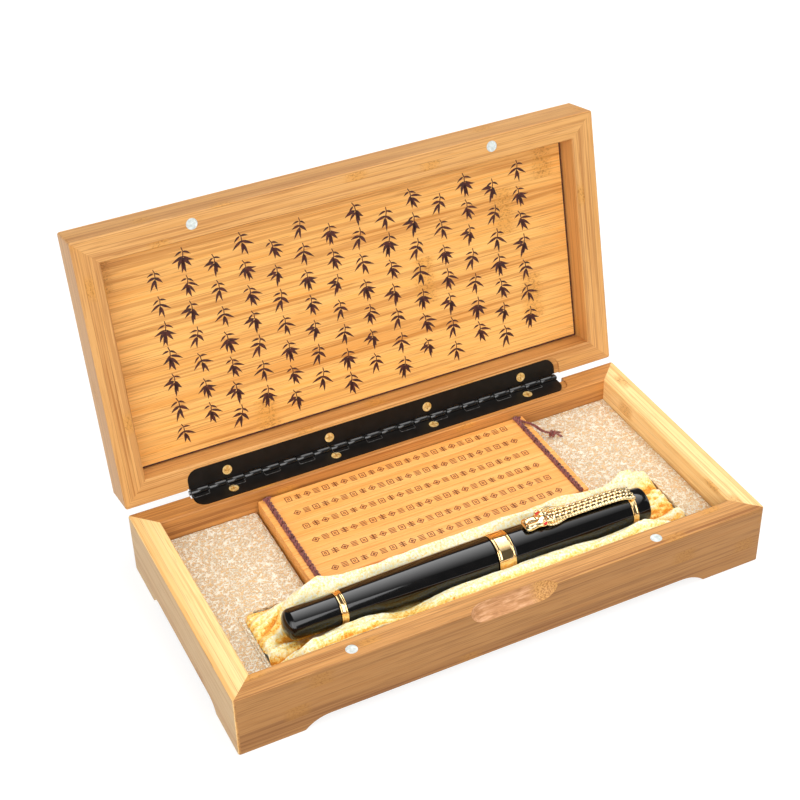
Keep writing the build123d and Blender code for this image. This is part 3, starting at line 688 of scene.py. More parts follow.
def penRadius(station):
    # The pen's outer radius at a station, which the silk keeps clear of
    s = penSizes
    if station < s["ringEnd"]:
        tail = [
            (0, s["tailRadius"]), (s["endCap"], s["endCapRadius"] + 0.1), (s["ringEnd"], s["barrelRear"]),
        ]
        return through(tail, station)
    if station < s["bandStart"]:
        return barrelRadius(station)
    if station < s["bandEnd"]:
        return s["bandRadius"]
    cap = [
        (s["bandEnd"], s["capRadius"]), (s["capEnd"], s["capEndRadius"] + 0.2),
        (s["length"], s["finialEndRadius"]),
    ]
    return through(cap, station)


def makePen():
    s = penSizes
    rim = s["tailRadius"] - 0.12
    spigot, screw = s["spigot"], s["screwBore"]
    tail = [(-s["dome"] * cos(pi / 2 * k / 20) ** 1.2, rim * sin(pi / 2 * k / 20)) for k in range(21)]
    tail += [(0.08, s["tailRadius"] - 0.03), (0.2, s["tailRadius"]), (0.6, s["tailRadius"] + 0.01)]
    end, wide = s["endCap"], s["endCapRadius"]
    tail += [(end - 0.7, wide), (end - 0.25, wide), (end, wide - 0.25), (end, spigot)]
    tail += [(s["spigotEnd"], spigot), (s["spigotEnd"], 0)]
    settle(turned("penTail", tail), "barrel", "lacquer", finishes["lacquer"], "barrel_end_cap")

    start, end = s["endCap"], s["ringEnd"]
    low, high = s["endCapRadius"] + 0.05, s["barrelRear"] + 0.12
    ring = [(start, spigot), (start, low), (start + 0.12, low + 0.22), (start + 0.38, low + 0.3)]
    ring += [(start + 0.62, low + 0.2), (start + 0.74, low + 0.1), (start + 0.86, low + 0.16)]
    ring += [(start + 1.1, low + 0.24), (end - 1.0, high - 0.04), (end - 0.78, high - 0.08)]
    ring += [(end - 0.66, high - 0.12), (end - 0.52, high - 0.02), (end - 0.3, high + 0.06)]
    ring += [(end - 0.1, high), (end, high - 0.2), (end, spigot)]
    settle(turned("tailRing", ring), "barrel", "gold", finishes["gold"], "barrel_end_ring")

    start, end, wide = s["ringEnd"], s["barrelFront"], s["barrelFrontRadius"]
    outer = [(start, spigot), (start, s["barrelRear"] - 0.15), (start + 0.15, s["barrelRear"])]
    for k in range(25):
        station = start + 0.5 + k * (end - 1.1 - start) / 24
        outer.append((station, barrelRadius(station)))
    outer += [(end - 0.2, wide), (end, wide - 0.2), (end, s["barrelThread"])]
    outer += [(s["seat"], s["barrelThread"]), (s["seat"], s["barrelBore"])]
    outer += [(s["spigotEnd"], s["barrelBore"]), (s["spigotEnd"], spigot)]
    settle(turned("penBarrel", outer), "barrel", "lacquer", finishes["lacquer"], "pen_barrel")

    # One turned line near each edge of the centre band
    start, end, top = s["bandStart"], s["bandEnd"], s["bandRadius"]
    edge = [(0, -0.22), (0.12, -0.02), (0.4, 0.06), (0.7, -0.02), (0.82, -0.16), (0.98, -0.16), (1.1, -0.06)]
    edge += [(1.5, -0.04)]
    band = [(start, s["bandSeat"])] + [(start + step, top + rise) for step, rise in edge]
    band += [(end - step, top + rise) for step, rise in edge[::-1]] + [(end, s["bandSeat"])]
    settle(turned("centreBand", band), "cap", "gold", finishes["gold"], "cap_centre_band")

    inner, outside = s["bandSeat"], s["capRadius"]
    shell = [(start, s["capMouth"]), (start, inner), (end, inner), (end, outside - 0.1)]
    shell += [(end + 0.12, outside)]
    span = s["capEnd"] - 0.6 - (end + 0.6)
    for k in range(25):
        t = k / 24
        shell.append((end + 0.6 + span * t, outside - (outside - s["capEndRadius"]) * t**1.25))
    end, wide = s["capEnd"], s["capEndRadius"]
    shell += [(end - 0.12, wide), (end, wide - 0.12), (end, screw), (s["roof"], screw)]
    shell += [(s["roof"], s["roofBore"])]
    settle(turned("capShell", shell), "cap", "lacquer", finishes["lacquer"], "cap_shell")

    start, end, top = s["capEnd"], s["capRingEnd"], s["ringRadius"]
    ring = [(start, screw), (start, top - 0.2), (start + 0.12, top - 0.02), (start + 0.4, top + 0.05)]
    ring += [(start + 0.66, top - 0.04), (start + 0.8, top - 0.1), (end - 0.8, top - 0.1)]
    ring += [(end - 0.66, top - 0.04), (end - 0.4, top + 0.05), (end - 0.12, top - 0.02), (end, top - 0.2)]
    ring += [(end, screw)]
    settle(turned("clipRing", ring), "cap", "gold", finishes["gold"], "cap_clip_ring")

    start, end = s["capRingEnd"], s["length"]
    wide, low = s["finialRadius"], s["finialEndRadius"]
    finial = [(start, screw), (start, wide - 0.1), (start + 0.1, wide), (start + 0.4, wide)]
    finial += [(end - 1.2, low + 0.06), (end - 0.8, low - 0.01), (end - 0.5, low - 0.1)]
    finial += [(end - 0.25, low - 0.28), (end - 0.07, low - 0.58), (end, low - 1.0), (end, low - 1.6)]
    finial += [(end, 0), (start + s["screwDepth"], 0), (start + s["screwDepth"], screw)]
    settle(turned("capFinial", finial), "cap", "lacquer", finishes["lacquer"], "cap_finial")

    stop = s["barrelFront"] + 0.05 + s["collar"]
    thread, nipple, bore = s["gripThread"], s["nipple"], s["feedBore"]
    grip = [(s["nippleStart"], bore), (s["nippleStart"], nipple), (s["seat"], nipple), (s["seat"], thread)]
    wide = s["gripRadius"]
    grip += [(stop, thread), (stop, wide - 0.18), (stop + 0.15, wide)]
    mouth, lip = s["mouth"], s["mouthRadius"]
    waist = mouth - 2.0
    for k in range(17):
        t = k / 16
        grip.append((stop + 0.55 + (waist - stop - 0.55) * t, wide - s["gripTaper"] * (t * 0.8 + 0.2 * t**2)))
    grip += [(mouth - 1.4, lip - 0.28), (mouth - 0.7, lip - 0.06), (mouth - 0.3, lip + 0.1), (mouth, lip)]
    grip += [(mouth, s["mouthBore"]), (s["nibBack"], s["mouthBore"]), (s["nibBack"], bore)]
    settle(turned("penGrip", grip), "pen_core", "black_plastic", finishes["black"], "grip_section")

    start, top = s["barrelFront"] + 0.05, s["collarRadius"]
    ring = rounded([(start, thread), (start, top), (stop, top), (stop, thread)], {1: 0.25, 2: 0.25})
    settle(turned("gripRing", ring), "pen_core", "gold", finishes["gold"], "section_ring")
    print("pen turned")


makePen()


# Clip: a reptile cast in gold

clip = {
    "tip": 95.1, "headEnd": 107.6, "root": 142.1, "pitch": 2.65, "rows": 4, "slot": 0.8, "pillow": 0.5,
    "eye": 102.6, "eyeSide": 3.45, "eyeHeight": 10.75, "eyeRadius": 0.86,
}


def skin(steps, around):
    # The faces over rings of points, with one over each end
    faces = []
    for i in range(steps):
        for j in range(around):
            a, b = i * around + j, i * around + (j + 1) % around
            faces.append((a, b, b + around, a + around))
    faces.append(tuple(range(around - 1, -1, -1)))
    faces.append(tuple(range(steps * around, steps * around + around)))
    return faces


def clipBody():
    # The body: rows of scales with staggered dark slots between the rows, on a bar that ends on the ring
    c = clip
    steps, around = 280, 96
    points, pockets = [], []
    first = c["headEnd"] - 2.5
    wide = [(first, 3.1), (112, 3.15), (126, 3.1), (136, 3.3), (c["root"], 3.6)]
    high = [(first, 10.5), (109, 10.15), (116, 9.95), (132, 9.85), (137, 9.7), (140, 9.15), (c["root"], 8.5)]
    low = [(first, 8.75), (134, 8.75), (137.5, 8.35), (139.6, 7.5), (c["root"], 7.1)]
    for i in range(steps + 1):
        station = first + (c["root"] - first) * i / steps
        width, top, under = (through(line, station) for line in (wide, high, low))
        middle = under + 0.25
        fade = ease(first, first + 1.5, station)
        section = []
        for k in range(161):
            angle = pi * (k / 160 - 0.5)
            side = width * abs(sin(angle)) ** 0.7 * (1 if angle >= 0 else -1)
            section.append(Vector((side, middle + (top - middle) * max(cos(angle), 0) ** 0.55)))
        lengths = [0.0]
        for a, b in zip(section, section[1:]):
            lengths.append(lengths[-1] + (b - a).length)
        k = 0
        for j in range(around + 1):
            wanted = lengths[-1] * j / around
            while k < 159 and lengths[k + 1] < wanted:
                k += 1
            here = section[k].lerp(section[k + 1], (wanted - lengths[k]) / (lengths[k + 1] - lengths[k]))
            slope = section[min(k + 4, 160)] - section[max(k - 3, 0)]
            out = Vector((-slope.y, slope.x)).normalized()
            row = min(j / around * c["rows"], c["rows"] - 0.001)
            seam = int(row + 0.5)
            cell = station / c["pitch"] + 0.5 * (seam % 2)
            along = abs((cell - int(cell)) * 2 - 1)
            across = abs((row - int(row)) * 2 - 1)
            rib = 0.55 + 0.45 * cos(tau * (station / c["pitch"] * 2 + 0.5 * (int(row) % 2)))
            scale = max(1 - across**2.2, 0) ** 0.6 * (0.7 + 0.3 * rib)
            dash = (1 - ease(0.13, 0.24, abs(row - seam))) * (1 - ease(0.5, 0.72, along)) * fade
            if seam == 0 or seam == c["rows"]:
                dash = 0
            puff = (c["pillow"] * scale - c["slot"] * dash - 0.1) * fade
            points.append((station, here.x + puff * out.x, here.y + puff * out.y))
            pockets.append(ease(0.25, 0.75, dash))
        points.append((station, width * 0.86, under))
        points.append((station, -width * 0.86, under))
        pockets += [0.0, 0.0]
    return points, skin(steps, around + 3), pockets


def clipHead():
    # The head: a broad blunt snout with nostrils, two ridges that run up to the brows, and a jaw line
    c = clip
    tip = c["tip"]
    outline = [
        (0, 1.9), (0.25, 2.55), (0.7, 3.0), (1.4, 3.3), (3.0, 3.35), (4.6, 3.1), (5.6, 3.15), (6.6, 3.5),
        (7.6, 3.75), (8.6, 3.6), (9.8, 3.25), (12.5, 3.1),
    ]
    ridge = [
        (0, 9.4), (0.3, 9.85), (0.9, 10.2), (2.0, 10.35), (3.8, 10.4), (5.2, 10.5), (6.4, 10.65), (7.6, 10.8),
        (9.0, 10.75), (12.5, 10.45),
    ]
    floor = [(0, 8.85), (0.5, 8.5), (1.4, 8.35), (3.2, 8.35), (4.6, 8.5), (6.0, 8.75), (12.5, 8.8)]
    bumps = [  # from the tip, side, length, width, height
        (1.45, 1.25, 0.55, 0.5, 0.36), (0.95, 1.3, 0.22, 0.25, -0.4), (3.6, 1.65, 1.9, 0.42, 0.34),
        (3.4, 0.5, 0.9, 0.35, 0.14), (5.9, 1.0, 0.6, 0.5, 0.3), (8.9, 2.3, 1.0, 0.6, 0.35),
        (6.9, 0.4, 0.7, 0.4, 0.25), (9.0, 1.35, 0.7, 0.5, 0.32), (9.2, 2.6, 0.6, 0.4, 0.25),
        (10.4, 0.6, 0.5, 0.45, 0.3), (8.2, 0.2, 0.7, 0.3, 0.35), (5.0, 2.5, 0.7, 0.35, -0.3),
        (10.6, 1.9, 0.55, 0.4, 0.28), (2.5, 2.4, 0.9, 0.3, -0.22),
    ]
    steps, around = 130, 72
    points, pockets = [], []
    length = c["headEnd"] - tip
    for i in range(steps + 1):
        along = length * (i / steps) ** 1.2
        width, top, under = (through(line, along) for line in (outline, ridge, floor))
        middle = under + (top - under) * 0.4
        for j in range(around):
            angle = tau * j / around
            side = width * (abs(sin(angle)) ** 0.65) * (1 if sin(angle) >= 0 else -1)
            up = cos(angle)
            if up > 0:
                height = middle + (top - middle) * up**0.6
            else:
                height = middle - (middle - under) * abs(up) ** 0.6
            pocket = 0.0
            if up > -0.1:
                for at, off, long, wide, rise in bumps:
                    for hand in (-1, 1):
                        far = ((along - at) / long) ** 2 + ((side - off * hand) / wide) ** 2
                        height += rise * exp(-far) * ease(-0.1, 0.45, up)
                        if rise < 0:
                            pocket = max(pocket, exp(-far * 1.6))
            # The lip: a groove round the jaw
            lip = exp(-(((angle - pi * 0.62) / 0.12) ** 2)) + exp(-(((angle - pi * 1.38) / 0.12) ** 2))
            points.append((tip + along, side * (1 - 0.07 * lip), height))
            pockets.append(min(max(pocket, ease(0.6, 1.0, lip) * ease(0.8, 2.0, along)), 1.0))
    return points, skin(steps, around), pockets


def tube(route, radii, around=14, flat=1.0):
    # A tapered tube along millimetre points
    points = []
    route = [Vector(p) for p in route]
    for i, (here, radius) in enumerate(zip(route, radii)):
        ahead = (route[min(i + 1, len(route) - 1)] - route[max(i - 1, 0)]).normalized()
        side = ahead.cross(Vector((0, 0, 1)))
        side = side.normalized() if side.length > 1e-4 else Vector((0, 1, 0))
        up = side.cross(ahead).normalized()
        for k in range(around):
            angle = tau * k / around
            points.append(here + side * radius * cos(angle) + up * radius * flat * sin(angle))
    return points, skin(len(route) - 1, around)


def bend(corners, count):
    # Even points on a smooth line through given corners
    marks = list(range(len(corners)))
    lines = [[(k, corner[axis]) for k, corner in zip(marks, corners)] for axis in range(3)]
    return [tuple(through(line, (len(corners) - 1) * k / count) for line in lines) for k in range(count + 1)]


def bezel(x, y, z, size):
    # A small collar round an eye
    points, faces = [], []
    big, small, a, b = size, size * 0.28, 28, 10
    for i in range(a):
        for j in range(b):
            p, q = tau * i / a, tau * j / b
            reach = big + small * cos(q)
            points.append((x + reach * cos(p), y + small * sin(q), z + reach * sin(p)))
    for i in range(a):
        for j in range(b):
            m, n = (i + 1) % a, (j + 1) % b
            faces.append((i * b + j, i * b + n, m * b + n, m * b + j))
    return points, faces


def joinParts(name, parts, place=None, sharp=60):
    points, faces = [], []
    for some, sides in parts:
        start = len(points)
        points += some
        faces += [tuple(start + k for k in face) for face in sides]
    return mesh(name, points, faces, place, True, sharp)


def makeClip():
    c = clip
    tip = c["tip"]
    body, head = clipBody(), clipHead()
    parts = [body[:2], head[:2]]
    pockets = body[2] + head[2]
    for side in (-1, 1):
        # A horn swept back over the neck, and a leg folded along the flank
        horn = bend([
            (tip + 8.4, 2.9 * side, 11.1), (tip + 9.6, 3.5 * side, 11.3), (tip + 11.6, 3.9 * side, 11.15),
            (tip + 14.2, 3.7 * side, 10.75), (tip + 17.0, 3.3 * side, 10.45), (tip + 19.6, 2.9 * side, 10.3),
        ], 60)
        parts.append(tube(horn, [0.42 * (1 - (k / 66) ** 2) + 0.02 for k in range(61)], 14))
        leg = bend([
            (tip + 8.2, 3.0 * side, 9.75), (tip + 9.4, 3.75 * side, 9.5), (tip + 11.2, 4.0 * side, 9.3),
            (tip + 13.4, 3.75 * side, 9.2), (tip + 15.4, 3.35 * side, 9.15), (tip + 17.2, 2.9 * side, 9.1),
        ], 60)
        thick = [0.3 + 0.3 * sin(pi * (k / 60) ** 0.7) + 0.09 * sin(k * 0.95) for k in range(61)]
        parts.append(tube(leg, thick, 14, 0.9))
        parts.append(bezel(c["eye"], (c["eyeSide"] + 0.12) * side, c["eyeHeight"], c["eyeRadius"]))
        # Eyelid: a short roll over the eye
        lid = bend([
            (c["eye"] - 1.15, (c["eyeSide"] - 0.3) * side, c["eyeHeight"] + 0.2),
            (c["eye"] - 0.2, (c["eyeSide"] - 0.45) * side, c["eyeHeight"] + 0.95),
            (c["eye"] + 1.1, (c["eyeSide"] - 0.2) * side, c["eyeHeight"] + 0.45),
        ], 20)
        parts.append(tube(lid, [0.14 + 0.18 * sin(pi * k / 20) for k in range(21)], 12))
    piece = joinParts("reptileClip", parts, penPlace)
    pockets += [0.0] * (len(piece.data.vertices) - len(pockets))
    depth = piece.data.attributes.new("pocket", "FLOAT", "POINT")
    depth.data.foreach_set("value", pockets)
    turnOutwards(piece.data)
    piece.data.shade_smooth()
    piece.data.set_sharp_from_angle(angle=radians(75))
    settle(piece, "cap", "gold", finishes["clipGold"], "cap_clip")


def makeEyes():
    c = clip
    reach = c["eyeRadius"]
    rings, segments = 12, 24
    points, faces = [], []
    for side in (-1, 1):
        start = len(points)
        for i in range(rings + 1):
            for j in range(segments):
                a, b = pi * i / rings, tau * j / segments
                x = c["eye"] + sin(a) * cos(b) * reach
                y = (cos(a) * reach + c["eyeSide"]) * side
                points.append((x, y, c["eyeHeight"] + sin(a) * sin(b) * reach))
        for i in range(rings):
            for j in range(segments):
                a, b = start + i * segments + j, start + i * segments + (j + 1) % segments
                if side < 0:
                    a, b = b, a
                faces.append((a, b, b + segments, a + segments))
    eyes = mesh("reptileEyes", points, faces, penPlace)
    turnOutwards(eyes.data, merge=True)
    eyes.data.shade_smooth()
    settle(eyes, "cap", "red_enamel", finishes["enamel"], "clip_eyes")
    print("clip made")


makeClip()
makeEyes()


# Silk

silkLook = {
    "left": -88.0, "right": 87.5, "front": -44.75, "backBook": -10.15, "backLiner": -7.5, "step": 0.5,
    "penGap": 0.25, "floor": 15.2, "linerEdge": 16.2, "bookLeft": (-66, -60), "bookRight": (59, 66),
    "tuck": 20.0, "tuckLeft": (-65, -61.8), "tuckRight": (60.6, 63.5), "tuckFront": (-15.5, -13.4),
}

# The cloth's lines along the box: heights of its ridges, front edge and hollow, and where the ridges run
frontRidge = [
    (-88, 17.6), (-84, 19.2), (-78, 21.8), (-72, 23.6), (-65, 24.8), (-57, 25.1), (-50, 25.2), (-45, 24.2),
    (-40, 22.4), (-33, 22.1), (-26, 23.6), (-19, 25.3), (-6, 25.9), (8, 26.2), (20, 26.4), (34, 26.0),
    (48, 24.6), (58, 25.4), (65, 26.2), (72, 24.4), (80, 21.0), (87.5, 18.0),
]
frontPlace = [
    (-88, -38.6), (-80, -37.0), (-70, -37.6), (-60, -38.2), (-45, -38.6), (-36, -40.0), (10, -41.4),
    (40, -41.2), (64, -41.0), (75, -41.4), (87.5, -42.0),
]
frontEdge = [
    (-88, 17.0), (-82, 18.6), (-76, 22.0), (-70, 25.4), (-60, 26.3), (-46, 26.3), (-38, 25.0), (-30, 24.4),
    (-16, 25.2), (20, 26.2), (34, 25.8), (48, 24.6), (58, 25.2), (66, 25.8), (74, 23.6), (80, 20.6),
    (87.5, 17.6),
]
backRidge = [
    (-88, 17.3), (-82, 19.0), (-76, 23.0), (-70, 27.0), (-64, 30.2), (-60, 31.2), (-55, 30.0), (-46.5, 28.4),
    (-33, 28.4), (-20, 29.0), (17, 29.0), (32, 29.0), (40, 30.2), (46, 29.6), (52, 28.2), (61, 26.2),
    (66, 26.6), (71, 28.8), (76, 27.2), (80, 24.2), (84, 21.2), (87.5, 17.8),
]
backPlace = [
    (-88, -12.0), (-76, -14.4), (-66, -15.8), (-20, -15.9), (30, -15.9), (62, -15.8), (70, -14.0),
    (76, -11.4), (87.5, -9.6),
]
hollow = [
    (-88, 17.4), (-84, 17.6), (-80, 16.4), (-76, 15.8), (-60, 16.4), (-20, 16.0), (60, 16.0), (71, 15.9),
    (76, 16.0), (82, 16.6), (87.5, 17.2),
]
folds = [  # from, to, half-width, height
    ((-86, -27), (-66, -16), 1.1, 2.3), ((-87, -22), (-72, -13.5), 1.0, -1.7),
    ((-84, -31), (-76, -28), 0.9, 1.2), ((-79, -35), (-70, -31), 2.0, -1.6),
    ((-86, -40), (-70, -36.5), 1.1, 1.3), ((-86, -36), (-76, -34.5), 0.8, -1.4),
    ((-74, -17), (-58, -14.5), 1.1, 1.0), ((-76, -42.0), (-38, -42.4), 1.15, -2.3),
    ((-70, -39.6), (-50, -40.2), 0.7, 0.7), ((-50, -41.0), (-30, -42.6), 0.8, 0.9),
    ((-66, -19), (-50, -18), 1.1, -1.1), ((-48, -16.6), (-26, -17.2), 1.1, 0.9),
    ((-34, -41.8), (-10, -43.2), 0.8, -1.3), ((-28, -40.0), (-8, -40.6), 0.9, 0.9),
    ((-20, -18.4), (6, -17.6), 1.1, -0.9), ((-6, -42.8), (14, -42.4), 0.7, -1.0),
    ((0, -40.8), (24, -39.8), 1.0, 1.0), ((10, -17.0), (34, -17.6), 1.2, 0.9),
    ((22, -43.4), (44, -42.2), 0.8, -1.2), ((34, -18.4), (56, -17.0), 1.1, -1.1),
    ((46, -41.4), (72, -40.0), 0.9, 1.2), ((54, -43.4), (74, -42.0), 0.8, -1.4),
    ((54, -17.5), (72, -13), 1.2, 1.0), ((72, -40), (87, -38), 1.0, 1.6),
    ((73, -35.5), (87, -33), 0.9, 1.5), ((74, -31.5), (87.5, -28.5), 0.8, -1.5),
    ((73, -27), (87.5, -23), 1.0, 1.6), ((72, -22), (87, -17), 1.0, -1.7),
    ((70, -19), (86, -11), 1.1, 1.7), ((76, -24.5), (87, -20), 0.6, 0.9),
    ((68, -15.5), (80, -10), 0.8, -1.2), ((76, -12.5), (86, -10), 0.8, 1.0),
    ((70, -37.5), (84, -36.2), 0.7, -1.2),
]


def penLine(x):
    # The pen's station at a place along the box, and where its axis lies there
    yaw = radians(pen["yaw"])
    station = (x - pen["tailX"]) / cos(yaw)
    return station, pen["tailY"] + (x - pen["tailX"]) * sin(yaw) / cos(yaw)


def onBook(x):
    # 1 where the cloth ends at the book, 0 where it ends at the liner
    return ease(*silkLook["bookLeft"], x) * (1 - ease(*silkLook["bookRight"], x))


def backOfSilk(x):
    return silkLook["backLiner"] + (silkLook["backBook"] - silkLook["backLiner"]) * onBook(x)


def silkHeight(x, y):
    f = silkLook
    length = penSizes["length"]
    station, axis = penLine(x)
    warpX = noise.noise(Vector((x * 0.11, y * 0.13, 1.7))) * 2.2
    warpY = noise.noise(Vector((x * 0.12, y * 0.14, 5.2))) * 1.5
    ridgeY, farY = through(frontPlace, x), through(backPlace, x)
    backY = backOfSilk(x)
    backZ = f["linerEdge"] + (f["tuck"] - f["linerEdge"]) * onBook(x)
    crest, rimSide = through(frontRidge, x), through(frontEdge, x)
    held = ease(-3, 26, station) * (1 - ease(length - 6, length + 6, station))
    penHere = penRadius(min(max(station, 0), length))
    reach = penHere if -4 < station < length + 8 else 6.5
    section = [
        (f["front"], rimSide),
        (ridgeY, crest),
        (axis - reach - 1.5, crest - 0.3 * held - 4.0 * (1 - held)),
        (axis - reach * 0.75, through(hollow, x) + 2.5),
        (axis, through(hollow, x)),
        (farY, through(backRidge, x)),
        (backY, backZ),
    ]
    height = 0
    for (y0, z0), (y1, z1) in zip(section, section[1:]):
        if y <= y1 or (y1, z1) == section[-1]:
            t = min(max((y - y0) / (y1 - y0), 0), 1)
            height = z0 + (z1 - z0) * (t * t * (3 - 2 * t))
            break
    for (x0, y0), (x1, y1), width, rise in folds:
        px, py = x + warpX, y + warpY
        dx, dy = x1 - x0, y1 - y0
        t = ((px - x0) * dx + (py - y0) * dy) / (dx * dx + dy * dy)
        if -0.15 < t < 1.15:
            off = (px - x0 - dx * t) * dy - (py - y0 - dy * t) * dx
            off /= hypot(dx, dy)
            taper = ease(-0.15, 0.25, t) * (1 - ease(0.75, 1.15, t))
            height += rise * taper * exp(-(off / width) ** 2)
    rough = noise.fractal(Vector((x * 0.16 + warpX * 0.1, y * 0.42 + warpY * 0.1, 3.1)), 0.9, 2.1, 4)
    height += rough * 0.25
    # Fine pleats at both ends, where the cloth is gathered under the liner
    ends = (1 - ease(-84, -68, x)) * 0.3 + ease(68, 80, x) * 0.34 + 0.07
    height += ends * sin(y * 2.1 + x * (0.5 if x > 0 else -0.35) + warpX * 0.9)
    # The cloth is tucked low before the book, so that the top leaf turns clear of it
    low = ease(*f["tuckFront"], y) * ease(*f["tuckLeft"], x) * (1 - ease(*f["tuckRight"], x))
    height += (min(height, f["tuck"]) - height) * low
    edge = min(x - f["left"], f["right"] - x)
    height -= 1.4 * (1 - ease(0, 1.6, edge))
    if -2 < station < length + 1.5:
        radius = penHere + f["penGap"]
        off = abs(y - axis)
        if off < radius:
            height = min(height, pen["height"] - sqrt(radius * radius - off * off))
    return max(height, f["floor"])


def makeSilk():
    f = silkLook
    columns = int((f["right"] - f["left"]) / f["step"])
    rows = int((f["backLiner"] - f["front"]) / f["step"])
    points, faces = [], []
    for i in range(columns + 1):
        x = f["left"] + (f["right"] - f["left"]) * i / columns
        backY = backOfSilk(x)
        for j in range(rows + 1):
            y = f["front"] + (backY - f["front"]) * j / rows
            points.append((x, y, silkHeight(x, y)))
    for i in range(columns):
        for j in range(rows):
            a = i * (rows + 1) + j
            faces.append((a, a + rows + 1, a + rows + 2, a + 1))
    piece = mesh("silkBed", points, faces, None, True, 180)
    # How much a spot stands above the cloth round it, for the satin's painted highlights and painted shade
    shade = piece.data.attributes.new("foldShade", "FLOAT", "POINT")
    heights = [p[2] for p in points]
    values = []
    for i in range(columns + 1):
        for j in range(rows + 1):
            near = []
            for reach in (4, 9, 14):
                for di, dj in ((reach, 0), (-reach, 0), (0, reach), (0, -reach)):
                    m = min(max(i + di, 0), columns)
                    n = min(max(j + dj, 0), rows)
                    near.append(heights[m * (rows + 1) + n])
            stand = heights[i * (rows + 1) + j] - sum(near) / len(near)
            values.append(min(max(0.6 + stand * 0.42, 0), 1))
    shade.data.foreach_set("value", values)
    area = sum(face.area for face in piece.data.polygons)
    print("silk area", round(area, 6), "square metres")
    settle(piece, "box", "silk", finishes["silk"], "silk_lining")
    print("silk made")


makeSilk()


# Book: cords and ornaments

cordLook = {
    "strand": 0.42, "bundle": 0.62, "strands": 3, "turn": 6.4, "loft": 0.52, "sunk": 0.12, "tie": 0.27,
    "thinStrand": 0.2, "thinBundle": 0.3, "endBundle": 0.28, "endTurn": 4.0,
}


def twisted(route, strand, bundle, strands, turn, around=9, phase=0.0):
    # Strands laid round a route; turn is the length in which they go once round
    route = [Vector(p) for p in route]
    lengths = [0.0]
    for a, b in zip(route, route[1:]):
        lengths.append(lengths[-1] + (b - a).length)
    parts = []
    for k in range(strands):
        line = []
        for i, here in enumerate(route):
            ahead = (route[min(i + 1, len(route) - 1)] - route[max(i - 1, 0)]).normalized()
            side = Vector((1, 0, 0)) if abs(ahead.x) < 0.8 else Vector((0, 1, 0))
            side = (side - ahead * side.dot(ahead)).normalized()
            lift = ahead.cross(side)
            angle = tau * (lengths[i] / turn + k / strands) + phase
            line.append(here + side * bundle * 1.25 * cos(angle) + lift * bundle * 0.62 * sin(angle))
        parts.append(tube(line, [strand] * len(line), around))
    return parts


def topBand(x, top):
    # The band over the top slips dips into each gap, where a crossing thread ties it
    b, c = book, cordLook
    count = 150
    route = []
    for k in range(count + 1):
        y = b["front"] + (b["back"] - b["front"]) * k / count
        place = (y - b["front"]) / b["pitch"]
        dip = exp(-((place - round(place)) * b["pitch"] / 0.9) ** 2)
        route.append((x, y, top - 0.12 - dip * 0.16))
    parts = twisted(route, c["strand"], c["bundle"], c["strands"], c["turn"], phase=1.2)
    for k in range(1, b["slips"]):
        y = b["front"] + k * b["pitch"] - 0.1
        for lean in (-1, 1):
            loop = [
                (x + lean * 0.98 * cos(t), y + 0.34 * lean * cos(t), top - 0.35 + 0.85 * sin(t))
                for t in [pi * m / 12 for m in range(13)]
            ]
            parts.append(tube(loop, [c["tie"]] * 13, 8))
    return parts


def makeCords():
    b, c = book, cordLook
    half = b["length"] / 2 - b["cordInset"]
    for number in range(1, b["leaves"] + 1):
        onTop = number == 1
        bottom = b["bottom"] + (b["leaves"] - number) * b["step"]
        top = bottom + b["thick"] + (c["loft"] if onTop else -c["sunk"])
        low = bottom + 0.3
        parts = []
        for x in (b["middle"] - half, b["middle"] + half):
            if onTop:
                parts += topBand(x, top)
            else:
                route = [(x, b["front"] + (b["back"] - b["front"]) * k / 60, top) for k in range(61)]
                parts += twisted(route, c["thinStrand"], c["thinBundle"], c["strands"], c["turn"])
            for y, out in ((b["front"], -1), (b["back"], 1)):
                ends = bend([
                    (x, y - 0.8 * out, top - 0.05), (x, y + 0.12 * out, top - 0.18),
                    (x, y + 0.3 * out, (top + low) / 2), (x, y + 0.12 * out, low), (x, y - 1.0 * out, low),
                ], 16)
                parts += twisted(ends, c["thinStrand"], c["endBundle"], c["strands"], c["endTurn"])
        piece = joinParts(f"leafCords{number}", parts)
        body = "top_leaf" if onTop else "book"
        settle(piece, body, "cord", finishes["cord"], f"leaf_cords_{number}")
    print("cords laid")


makeCords()


def topOfBook():
    return book["bottom"] + (book["leaves"] - 1) * book["step"] + book["thick"]


tailCord = {
    "strand": 0.26, "bundle": 0.3, "strands": 3, "turn": 3.2, "knot": (67.0, 31.9, 18.9), "hairs": 7,
    "tufts": ((2.6, -2.4, -0.9), (3.6, 0.2, -0.9)),
}


